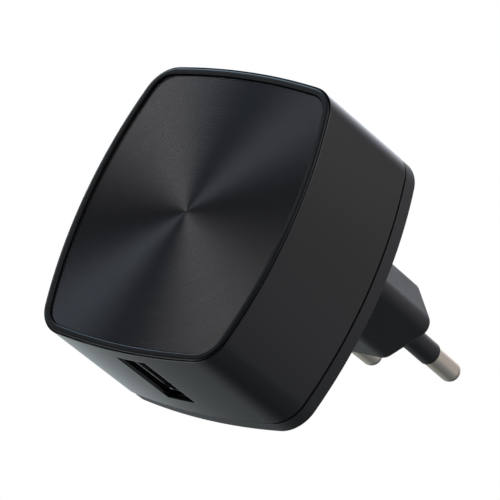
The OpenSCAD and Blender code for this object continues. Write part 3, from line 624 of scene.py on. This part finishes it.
# flat end with two round holes: P(k, t) = (1 - t) * circle(angle k) + t * loop(k), one half for each pin
def holedEnd(loop, y, centres, radius, edgeRings=(0, 0.04, 0.5, 0.97, 1)):
    grids, circles = [], []
    for side, centre in centres:
        half = loop[side * loop[:, 0] > -1e-9]
        angle = np.arctan2(half[:, 1], side * half[:, 0] - side * centre)
        order = np.argsort(angle)
        half = half[order]
        top, bottom = half[-1], half[0]
        bridge = np.linspace(top, bottom, 14)[1:-1]
        ring = np.vstack([half, bridge])
        angle = np.arctan2(ring[:, 1], ring[:, 0] - centre)
        circle = np.stack([centre + radius * np.cos(angle), radius * np.sin(angle)], -1)
        t = np.array(edgeRings)[None, :, None]
        flat = circle[:, None] * (1 - t) + ring[:, None] * t
        grids.append(np.stack([flat[..., 0], np.full(flat.shape[:2], y), flat[..., 1]], -1))
        circles.append((side, angle))
    return grids, circles


# a wall of circles about a pin's axis, at the angles of the flat end's hole
def bore(side, angle, rows):
    point, axis = pinAxis(side)
    radius = np.array([r for r, _ in rows])[None]
    y = np.array([v for _, v in rows])[None]
    centre = point[0] + (y - noseEndY) * axis[0] / axis[1]
    a = angle[:, None]
    depth = np.broadcast_to(y, (len(angle), y.shape[1]))
    return np.stack([centre + radius * np.cos(a), depth, radius * np.sin(a)], -1)


def buildCover(shape):
    back = 0.0
    front = back - shape["thickness"]
    floor = back - shape["floor"]
    lipIn, lipOut = -shape["lipInset"] - shape["lipThickness"], -shape["lipInset"]
    lipEnd = front - shape["lipHeight"]
    rim, rimFront = -shape["inset"], front + shape["gapOpen"]
    plate = roundedPath([
        (lipIn - shape["floorHold"], floor), (lipIn, floor, 0.1 * mm), (lipIn, lipEnd, 0.2 * mm),
        (lipOut, lipEnd, 0.2 * mm), (lipOut, rimFront, 0.08 * mm), (rim, rimFront, shape["frontEdge"]),
        (rim, back, shape["edge"]), (rim - shape["backHold"], back)], 6, False)
    plateGrid = carryOutline(outline, outlineNormal, plate, bodyMiddle)
    loop = noseOutline(shape)
    normal = loopNormals(loop)
    depth = noseEndY
    e = shape["noseEdge"]

    base = shape["baseOut"]          # the nose narrows from its base to its end
    outer = roundedPath([(base + shape["baseHold"], back), (base, back, 0.25 * mm),
                         (0, depth, e), (-e - 0.15 * mm, depth)], 8, False)
    outerGrid = carryOutline(loop, normal, outer)
    wall = shape["noseWall"]
    pocketEnd = depth - shape["noseEnd"]
    inner = roundedPath([(-wall - 0.4 * mm, pocketEnd), (-wall, pocketEnd, 0.3 * mm),
                         (-wall, floor, 0.1 * mm), (-wall + 0.3 * mm, floor)], 5, False)
    innerGrid = carryOutline(loop, normal, inner)
    endLoop = outerGrid[:, -1][:, [0, 2]]
    pocketLoop = innerGrid[:, 0][:, [0, 2]]
    low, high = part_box("right_pin_sleeve")
    sleeveR = (high[2] - low[2]) / 2 + shape["boreClearance"]
    holeR, bossR = sleeveR + shape["holeEdge"], shape["boss"] / 2
    atEnd, atPocket = [], []
    for side in (-1, 1):
        point, axis = pinAxis(side)
        atEnd.append((side, point[0]))
        atPocket.append((side, point[0] - shape["noseEnd"] * axis[0] / axis[1]))
    endGrids, endCircles = holedEnd(endLoop, depth, atEnd, holeR)
    pocketGrids, pocketCircles = holedEnd(pocketLoop, pocketEnd, atPocket, bossR)
    grids = [plateGrid, outerGrid, innerGrid] + endGrids + pocketGrids
    seat, bossEnd = depth - shape["seat"], depth - shape["noseEnd"] - shape["bossLength"]
    collarR, bossEdge = shape["collarBore"] / 2, shape["bossEdge"]
    for (side, angle), (_, bossAngle) in zip(endCircles, pocketCircles):
        holeRows = roundedPath([(holeR, depth), (sleeveR, depth - shape["holeEdge"]), (sleeveR, seat),
                                (collarR, seat), (collarR, bossEnd)], 3, False)
        bossRows = [(bossR, pocketEnd), (bossR, bossEnd + bossEdge), (bossR - bossEdge, bossEnd)]
        hole, bossWall = bore(side, angle, holeRows), bore(side, bossAngle, bossRows)
        grids += [hole, bossWall, np.stack([hole[:, -1], bossWall[:, -1]], 1)]

    def joinLoops(bm):   # the flat rings left open between body outline and nose, behind and in front
        rings = {}
        for edge in bm.edges:
            if edge.is_boundary:
                rings.setdefault(edge.verts[0].co.y > back - 0.5 * mm, []).append(edge)
        for edges in rings.values():
            bmesh.ops.bridge_loops(bm, edges=edges)

    makePiece("matte_rear_cover", grids, "matte_cover", ["rear_cover"], joinLoops)


buildCover(coverShape)
print("rear cover")


pinShape = dict(shank=3.0 * mm, collar=5.8 * mm, collarThickness=1.5 * mm, seat=6.5 * mm, tail=14 * mm,
                sleeveEdge=0.12 * mm, sleeveGap=0.01 * mm, sleeveFit=0.03 * mm, shoulder=0.1 * mm)


def buildPins(shape):
    for side, name in ((-1, "left"), (1, "right")):
        point, axis = pinAxis(side)
        mount = pinMounts[name + "_pin_end"]
        r = mount["dims"]["r_mm"] * mm
        middle = np.linalg.norm(np.array(mount["pos_m"]) - point)
        bare = middle - mount["dims"]["length_mm"] * mm / 2
        domeStart = middle + mount["dims"]["length_mm"] * mm / 2
        a = np.linspace(0, pi / 2, 11)
        dome = np.stack([r * np.cos(a), domeStart + r * np.sin(a)], -1)
        s, c = shape["shank"] / 2, shape["collar"] / 2
        seat, collar = -shape["seat"], -shape["seat"] - shape["collarThickness"]
        body = roundedPath([
            (0, -shape["tail"]), (s, -shape["tail"], 0.2 * mm), (s, collar, 0.1 * mm), (c, collar, 0.15 * mm),
            (c, seat, 0.15 * mm), (s, seat, 0.05 * mm), (s, bare), (r, bare, shape["shoulder"]),
            (r, domeStart - 0.2 * mm)], 4, False)
        pin = turnedGrid(np.vstack([body, dome]), point, axis, 64)
        makePiece(name + "_plug_pin", [pin], "nickel_pin", [name + "_pin"])
        low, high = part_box(name + "_pin_sleeve")
        outerR = (high[2] - low[2]) / 2
        innerR = s + shape["sleeveFit"]
        end = bare - shape["sleeveGap"]
        profile = roundedPath([(innerR, seat), (outerR, seat, 0.05 * mm), (outerR, end, shape["sleeveEdge"]),
                               (innerR, end)], 5, True)
        sleeve = turnedGrid(profile, point, axis, 64, True)
        makePiece(name + "_insulating_sleeve", [sleeve], "pin_sleeve", [name + "_pin_sleeve"])


buildPins(pinShape)
print("pins")


# three coordinate arrays into points; axes says which of x, y, z each one is
def gridPoints(first, second, third, axes, centre):
    grid = np.empty(first.shape + (3,))
    for axis, values in zip(axes, (first, second, third)):
        grid[..., axis] = values
    return grid + np.array(centre)


# loops in one plane, each with its height along the third axis; axes says where loop u, height and loop v go
def rowsToGrid(rows, axes, centre):
    loops = np.stack([loop for loop, _ in rows], 1)
    heights = np.array([height for _, height in rows])[None]
    return gridPoints(loops[..., 0], heights, loops[..., 1], axes, centre)


# quarter-turned direction of a path in its plane
def pathNormals(path):
    tangent = np.gradient(path, axis=0)
    tangent /= np.linalg.norm(tangent, axis=1, keepdims=True)
    return np.stack([-tangent[:, 1], tangent[:, 0]], -1)


# rectangle with round corners, counter-clockwise, with extra points along its long sides
def boxLoop(w, h, radius, marks=(), steps=5):
    corners = [(w, -h, radius)] + [(w, v) for v in marks] + [(w, h, radius), (-w, h, radius)]
    corners += [(-w, v) for v in reversed(marks)] + [(-w, -h, radius)]
    return roundedPath(corners, steps, True)


# strip along a path: P(i, k) = path(i) + thickness(k) * normal(i), with width(k) across the path's plane
def bentStrip(path, thickness, width, axes, centre, edge=0.05 * mm):
    normal = pathNormals(path)
    t, w = thickness / 2, width / 2
    section = roundedPath([(t, -w, edge), (t, w, edge), (-t, w, edge), (-t, -w, edge)], 2, True, 0.02 * mm)
    scale = np.concatenate([[0], np.ones(len(path)), [0]])
    index = np.concatenate([[0], np.arange(len(path)), [len(path) - 1]])
    across = section[:, None] * scale[None, :, None]
    flat = path[index][None] + across[..., :1] * normal[index][None]
    return gridPoints(flat[..., 0], flat[..., 1], across[..., 1], axes, centre)


# round wire along a path in one plane: P = path + r * (cos t * normal + sin t * across)
def wire(path, radius, axes, centre, steps=12):
    normal = pathNormals(path)
    t = np.linspace(0, 2 * pi, steps, endpoint=False)[:, None, None]
    scale = np.concatenate([[0, 0.7], np.ones(len(path)), [0.7, 0]])[None, :, None] * radius
    index = np.concatenate([[0, 0], np.arange(len(path)), [len(path) - 1] * 2])
    flat = path[index][None] + np.cos(t) * scale * normal[index][None]
    return gridPoints(flat[..., 0], flat[..., 1], (np.sin(t) * scale)[..., 0], axes, centre)


receptacleShape = dict(width=13.15 * mm, height=5.72 * mm, sheet=0.3 * mm, radius=0.7 * mm, windowOut=3.2 * mm,
                       windowWidth=2.0 * mm, windowFrom=2.6 * mm, windowLength=4.4 * mm, legWidth=1.8 * mm,
                       legPlaces=(4.2 * mm, 11.6 * mm), springWidth=1.5 * mm, springDip=0.45 * mm,
                       block=4.6 * mm, tongueOut=1.1 * mm, tongueWidth=11.1 * mm, tongueThickness=1.84 * mm,
                       tongueSetback=0.5 * mm, tongueTaper=0.3 * mm)


def buildReceptacle(shape):
    port = next(m for m in frame["record"]["mounts"] if m["name"] == "usb_port")["pos_m"]
    low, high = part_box("usb_shell")
    mouth, back = low[2], high[2]
    hx, hy, t = shape["height"] / 2, shape["width"] / 2, shape["sheet"]
    w = shape["windowWidth"] / 2
    marks = [-shape["windowOut"] - w, -shape["windowOut"] + w, shape["windowOut"] - w, shape["windowOut"] + w]
    loop = boxLoop(hx, hy, shape["radius"], marks)
    normal = loopNormals(loop)
    z0, z1 = mouth + shape["windowFrom"], mouth + shape["windowFrom"] + shape["windowLength"]
    profile = roundedPath([(0, z0), (0, z1), (0, back, 0.04 * mm), (-t, back, 0.04 * mm), (-t, z1), (-t, z0),
                           (-t, mouth, 0.13 * mm), (0, mouth, 0.13 * mm)], 4, True, 0.01 * mm)
    rows = [(loop + normal * inset, z) for inset, z in profile]
    grid = rowsToGrid(rows, (0, 2, 1), (port[0], port[1], 0))
    nu, nv = grid.shape[:2]
    find = lambda inset, z: int(np.argmin(np.hypot(profile[:, 0] - inset, profile[:, 1] - z)))
    column = lambda x, y: int(np.argmin(np.hypot(loop[:, 0] - x, loop[:, 1] - y)))
    spans = []
    for x in (hx, -hx):
        for a, b in ((0, 1), (2, 3)):
            i0, i1 = sorted((column(x, marks[a]), column(x, marks[b])))
            spans.append((i0, i1, find(0, z0), find(0, z1), find(-t, z0), find(-t, z1)))
    grids = [(grid, cutThrough(nu, nv, spans, True))]
    for x in (-1, 1):
        for z in shape["legPlaces"]:
            path = np.stack([np.linspace(port[1] + hy - 1.2 * mm, high[1], 14),
                             np.full(14, port[0] + x * (hx - t / 2))], -1)
            grids.append(bentStrip(path, t, shape["legWidth"], (1, 0, 2), (0, 0, mouth + z), 0.04 * mm))
        for y in (-1, 1):
            k = np.linspace(0, 1, 16)
            z = z1 - k * shape["windowLength"] * 0.9
            rise = np.where(k > 0.5, 1, np.sin(pi * k))
            inward = shape["springDip"] * np.sin(pi * np.minimum(k * 1.15, 1)) ** 2 * rise
            path = np.stack([z, port[0] + x * (hx - t / 2 - inward)], -1)
            grids.append(bentStrip(path, t * 0.8, shape["springWidth"], (2, 0, 1),
                                   (0, port[1] + y * shape["windowOut"], 0), 0.04 * mm))
    makePiece("port_shell", grids, "port_steel", ["usb_shell"])
    inner = t + 0.05 * mm
    blockLoop = boxLoop(hx - inner, hy - inner, 0.4 * mm)
    blockNormal = loopNormals(blockLoop)
    start = back - shape["block"]
    blockProfile = roundedPath([(-2.5 * mm, start), (0, start, 0.1 * mm), (0, back, 0.1 * mm),
                                (-2.5 * mm, back)], 4, False)
    rows = [(blockLoop * 0, start)] + [(blockLoop + blockNormal * i, z) for i, z in blockProfile]
    rows.append((blockLoop * 0, back))
    block = rowsToGrid(rows, (0, 2, 1), (port[0], port[1], 0))
    th, tw, tip = shape["tongueThickness"] / 2, shape["tongueWidth"] / 2, mouth + shape["tongueSetback"]
    taper = shape["tongueTaper"]
    tongueLoop = boxLoop(th, tw, 0.12 * mm)
    tongueNormal = loopNormals(tongueLoop)
    tongueProfile = roundedPath([(-0.8 * mm, tip), (-taper, tip, 0.08 * mm), (0, tip + 0.9 * mm, 0.3 * mm),
                                 (0, start + 0.2 * mm)], 4, False)
    rows = [(tongueLoop * 0, tip)] + [(tongueLoop + tongueNormal * i, z) for i, z in tongueProfile]
    rows.append((tongueLoop * 0, start + 0.2 * mm))
    tongue = rowsToGrid(rows, (0, 2, 1), (port[0] + shape["tongueOut"], port[1], 0))
    makePiece("port_tongue", [block, tongue], "port_insulator", ["usb_tongue"])


buildReceptacle(receptacleShape)
print("receptacle")


springShape = dict(foot=4.0 * mm, thickness=0.4 * mm, bend=0.9 * mm)


def buildSprings(shape):
    t = shape["thickness"]
    for side, name in ((-1, "left_contact_spring"), (1, "right_contact_spring")):
        low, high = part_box(name)
        inner, outer = (high[0], low[0]) if side < 0 else (low[0], high[0])
        riser = outer - side * (shape["foot"] - t / 2)
        path = roundedPath([(outer, low[1] + t / 2), (riser, low[1] + t / 2, shape["bend"]),
                            (riser, high[1] - t / 2, shape["bend"]), (inner, high[1] - t / 2)], 8, False)
        grid = bentStrip(path, t, high[2] - low[2], (0, 1, 2), (0, 0, (low[2] + high[2]) / 2))
        makePiece(name + "_leaf", [grid], "bronze_spring", [name])


buildSprings(springShape)

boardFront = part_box("circuit_board")[0][1]
woundShape = dict(tubeY=3.13 * mm, tubeZ=2.93 * mm, wire=0.36 * mm, tape=0.3 * mm, radius=2.2 * mm,
                  ripple=0.05 * mm, chokeTurns=15, chokeWire=0.17 * mm, chokeGap=0.03 * mm)


# wound coil: outer section follows the turns, inset = wire / 2 * (1 - |sin(pi x / wire)|)
def buildWindings(shape):
    low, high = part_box("transformer_tape")
    centre = tuple((a + b) / 2 for a, b in zip(low, high))
    hx, hy, hz = ((b - a) / 2 for a, b in zip(low, high))
    marks = list(np.linspace(-0.5, 0.5, 9) * hz)
    outer = boxLoop(hy, hz, shape["radius"], marks, 8)
    innerMarks = list(np.linspace(-0.5, 0.5, 9) * shape["tubeZ"])
    inner = boxLoop(shape["tubeY"], shape["tubeZ"], 0.3 * mm, innerMarks, 8)
    normal = loopNormals(outer)
    x = np.linspace(-hx + 0.05 * mm, hx - 0.05 * mm, int(hx * 2 / shape["wire"]) * 8)
    inset = shape["tape"] + 0.02 * mm + shape["wire"] / 2 * (1 - np.abs(np.sin(pi * x / shape["wire"])))
    rows = [(outer - normal * i, p) for i, p in zip(inset, x)]
    endWall = [outer * (1 - k) + inner * k - normal * (shape["tape"] + 0.2 * mm) * (1 - k)
               for k in (0.1, 0.5, 0.98)]
    rows += [(wall, x[-1]) for wall in endWall] + [(inner, x[-1]), (inner, x[0])]
    rows += [(wall, x[0]) for wall in reversed(endWall)]
    coil = rowsToGrid(rows, (1, 0, 2), centre)
    coilFaces = gridFaces(coil.shape, True, True)
    makePiece("wound_coil", [(coil, coilFaces)], "enamelled_wire", ["transformer_winding"])
    t = shape["tape"]
    u = np.arange(len(outer)) / len(outer)
    swell = shape["ripple"] * np.sin(2 * pi * u * 3)[:, None] ** 2
    section = roundedPath([(0, -hx, 0.05 * mm), (-0.04 * mm, 0), (0, hx, 0.05 * mm), (-t, hx, 0.05 * mm),
                           (-t, -hx, 0.05 * mm)], 3, True)
    rows = [(outer + normal * (i - swell), p) for i, p in section]
    tape = rowsToGrid(rows, (1, 0, 2), centre)
    tapeFaces = gridFaces(tape.shape, True, True)
    makePiece("coil_tape", [(tape, tapeFaces)], "winding_tape", ["transformer_tape"])
    low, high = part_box("choke_winding")
    r, base = (high[2] - low[2]) / 2, low[1]
    turns = shape["chokeTurns"]
    y = np.linspace(0, high[1] - low[1], turns * 8)
    ring = np.column_stack([r - shape["chokeWire"] * (1 - np.abs(np.sin(pi * y * turns / y[-1]))), y])
    coreLow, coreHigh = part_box("choke_core")
    hole = (coreHigh[2] - coreLow[2]) / 4 + shape["chokeGap"]
    ring = np.vstack([ring, [(hole, y[-1]), (hole, 0)]])
    place = ((low[0] + high[0]) / 2, base, (low[2] + high[2]) / 2)
    chokeCoil = turnedGrid(ring, place, (0, 1, 0), 56, True)
    makePiece("choke_coil", [chokeCoil], "enamelled_wire", ["choke_winding"])


buildWindings(woundShape)

canShape = dict(lift=0.3 * mm, grooveAt=1.5 * mm, groove=0.35 * mm, lead=0.3 * mm, rimIn=0.7 * mm,
                rimDrop=0.18 * mm)


# upright can about -Y: base, crimp groove, rolled rim and a sunken top with a raised vent ring; two leads
def buildCans(shape):
    kinds = [("input", "sleeved_can", 3.5 * mm, 0), ("output", "bare_can", 2.5 * mm, 2)]
    rows = [(f"{kind}_capacitor_{n}", *rest) for kind, *rest in kinds for n in (1, 2)]
    for name, slotName, pitch, along in rows:
        low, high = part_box(name)
        x, z = (low[0] + high[0]) / 2, (low[2] + high[2]) / 2
        r = (high[0] - low[0]) / 2
        base = boardFront - shape["lift"]
        tall = base - low[1]
        g, at, drop = shape["groove"], shape["grooveAt"], shape["rimDrop"]
        profile = roundedPath([
            (0, 0), (r - 0.3 * mm, 0, 0.1 * mm), (r, 0.3 * mm, 0.15 * mm), (r, at - g, 0.12 * mm),
            (r - g, at, 0.2 * mm), (r, at + g, 0.12 * mm), (r, tall, 0.35 * mm),
            (r - shape["rimIn"], tall, 0.1 * mm), (r - shape["rimIn"] - 0.05 * mm, tall - drop, 0.05 * mm),
            (r * 0.45, tall - drop, 0.1 * mm), (r * 0.38, tall - drop * 0.4, 0.1 * mm),
            (0, tall - drop * 0.4)], 5, False)
        grids = [turnedGrid(profile, (x, base, z), (0, -1, 0), 56)]
        for s in (-1, 1):
            place = [x, 0, z]
            place[along] += s * pitch / 2
            lead = roundedPath([(0, base - 0.1 * mm), (shape["lead"], base - 0.1 * mm),
                                (shape["lead"], high[1], 0.12 * mm), (0, high[1])], 3, False)
            grids.append(turnedGrid(lead, place, (0, 1, 0), 14))
        makePiece(name + "_can", grids, slotName, [name])


buildCans(canShape)

dropShape = dict(discPitch=5 * mm, lead=0.3 * mm, resistorPitch=12 * mm, bodyLength=8.6 * mm, capLength=1.8 * mm,
                 waist=0.3 * mm, bend=0.8 * mm)


# dipped disc: thickness * (1 - (r / R)^3)^(1/2) on both faces; dog-bone resistor with bent leads
def buildDropped(shape):
    low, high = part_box("safety_capacitor")
    r, t = (high[2] - low[2]) / 2, (high[0] - low[0]) / 2
    centre = ((low[0] + high[0]) / 2, low[1] + r, (low[2] + high[2]) / 2)
    a = np.linspace(0, pi, 33)
    profile = np.stack([r * np.sin(a) ** 0.75, -t * np.cos(a)], -1)
    profile[[0, -1], 0] = 0
    grids = [turnedGrid(profile, centre, (1, 0, 0), 56)]
    for s in (-1, 1):
        place = (centre[0], 0, centre[2] + s * shape["discPitch"] / 2)
        skirt = roundedPath([(0, centre[1]), (0.75 * mm, centre[1]),
                             (0.6 * mm, centre[1] + r * 0.85, 0.3 * mm),
                             (shape["lead"], centre[1] + r + 0.3 * mm, 0.3 * mm),
                             (shape["lead"], high[1], 0.1 * mm), (0, high[1])], 5, False)
        grids.append(turnedGrid(skirt, place, (0, 1, 0), 16))
    makePiece("dipped_disc", grids, "disc_coat", ["safety_capacitor"])
    low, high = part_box("fusible_resistor")
    r = (high[0] - low[0]) / 2
    x, y, z = (low[0] + high[0]) / 2, low[1] + r, (low[2] + high[2]) / 2
    half, cap, waist = shape["bodyLength"] / 2, shape["capLength"], r - shape["waist"]
    body = roundedPath([(0, -half), (r, -half, 0.35 * mm), (r, cap - half, 0.4 * mm),
                        (waist, cap - half + 0.5 * mm, 0.4 * mm), (waist, half - cap - 0.5 * mm, 0.4 * mm),
                        (r, half - cap, 0.4 * mm), (r, half, 0.35 * mm), (0, half)], 6, False)
    grids = [turnedGrid(body, (x, y, z), (0, 0, 1), 40)]
    for s in (-1, 1):
        path = roundedPath([(s * (half - 0.5 * mm), 0), (s * shape["resistorPitch"] / 2, 0, shape["bend"]),
                            (s * shape["resistorPitch"] / 2, high[1] - y)], 6, False)
        grids.append(wire(path, shape["lead"], (2, 1, 0), (x, y, z)))
    makePiece("dogbone_resistor", grids, "resistor_coat", ["fusible_resistor"])


buildDropped(dropShape)
print("components")


studio = dict(
    cameraPlace=(0.4364, -0.4583, -0.1684), lens=290.7,
    right=(0.7271, 0.5567, 0.4017), up=(-0.1366, -0.4561, 0.8794), back=(0.6728, -0.6943, -0.2556),
    floorLevel=-0.42, floorSize=6.0,
)
camera = bpy.data.objects.new("camera", bpy.data.cameras.new("camera"))
camera.data.lens = studio["lens"]
camera.data.sensor_width = 36
camera.matrix_world = Matrix([
    [studio["right"][i], studio["up"][i], studio["back"][i], studio["cameraPlace"][i]] for i in range(3)
] + [[0, 0, 0, 1]])
bpy.context.scene.collection.objects.link(camera)
bpy.context.scene.camera = camera


def buildFloor(shape):
    half = shape["floorSize"] / 2
    mesh = bpy.data.meshes.new("floor")
    corners = [(-half, -half, 0), (half, -half, 0), (half, half, 0), (-half, half, 0)]
    mesh.from_pydata(corners, [], [(0, 1, 2, 3)])
    floor = bpy.data.objects.new("floor", mesh)
    floor.location.z = shape["floorLevel"]
    material = startMaterial("pale_floor", {"Roughness": 0.9, "Base Color": (0.86, 0.86, 0.87, 1)})[0]
    mesh.materials.append(material)
    bpy.context.scene.collection.objects.link(floor)
    floor.visible_diffuse = floor.visible_glossy = False
    floor.visible_transmission = floor.visible_shadow = False


buildFloor(studio)


# soft lights all round: radiance = colour * exp(sharpness * (direction . ray - 1)); sharper is smaller
softLights = [
    ("front left, high", (-0.81, -0.41, 0.42), 120, (3.3, 3.2, 3.25)),
    ("front, high", (-0.51, -0.71, 0.49), 170, (1.45, 1.45, 1.6)),
    ("front left, level", (-0.82, -0.57, 0.04), 170, (1.6, 1.85, 2.1)),
    ("front, level", (-0.50, -0.86, 0.05), 110, (0.85, 0.8, 0.72)),
    ("left, overhead", (-0.66, -0.26, 0.70), 40, (3.5, 5.2, 6.8)),
    ("right rear, high", (0.62, 0.42, 0.66), 16, (0.95, 0.93, 0.93)),
    ("rear, high", (-0.35, 0.68, 0.64), 9, (0.90, 0.90, 1.00)),
    ("right, high", (0.75, -0.28, 0.60), 9, (2.15, 2.25, 2.40)),
    ("left rear", (-0.79, 0.46, 0.40), 9, (1.7, 1.9, 1.95)),
    ("right rear, level", (0.69, 0.71, 0.08), 16, (0.40, 0.40, 0.42)),
    ("rear, low", (0.47, 0.73, -0.50), 9, (0.17, 0.19, 0.21)),
    ("left, below", (-0.55, 0.05, -0.83), 9, (2.15, 2.35, 2.45)),
]


# the world is a plain white backdrop to the camera and the sum of the soft lights to everything else
def buildWorld(rows):
    world = bpy.data.worlds.new("studio")
    bpy.context.scene.world = world
    world.use_nodes = True
    nodes, links = world.node_tree.nodes, world.node_tree.links
    nodes.clear()
    output = nodes.new("ShaderNodeOutputWorld")
    seen = nodes.new("ShaderNodeBackground")
    seen.inputs["Color"].default_value = (1, 1, 1, 1)
    room = nodes.new("ShaderNodeBackground")
    ray = nodes.new("ShaderNodeLightPath")
    mix = nodes.new("ShaderNodeMixShader")
    links.new(ray.outputs["Is Camera Ray"], mix.inputs["Fac"])
    links.new(room.outputs[0], mix.inputs[1])
    links.new(seen.outputs[0], mix.inputs[2])
    links.new(mix.outputs[0], output.inputs["Surface"])
    place = nodes.new("ShaderNodeTexCoord")
    total = None
    for label, direction, sharpness, colour in rows:
        facing = nodes.new("ShaderNodeVectorMath")
        facing.operation = "DOT_PRODUCT"
        facing.label = label
        facing.inputs[1].default_value = np.array(direction) / np.linalg.norm(direction)
        links.new(place.outputs["Generated"], facing.inputs[0])
        power = mathNode(nodes, links, "MULTIPLY_ADD", facing.outputs["Value"], sharpness, -sharpness)
        glow = nodes.new("ShaderNodeVectorMath")
        glow.operation = "SCALE"
        glow.inputs[0].default_value = colour
        links.new(mathNode(nodes, links, "EXPONENT", power), glow.inputs["Scale"])
        if total is None:
            total = glow.outputs[0]
            continue
        add = nodes.new("ShaderNodeVectorMath")
        links.new(total, add.inputs[0])
        links.new(glow.outputs[0], add.inputs[1])
        total = add.outputs[0]
    links.new(total, room.inputs["Color"])


buildWorld(softLights)
bpy.context.scene.view_settings.view_transform = "Standard"
print("studio")
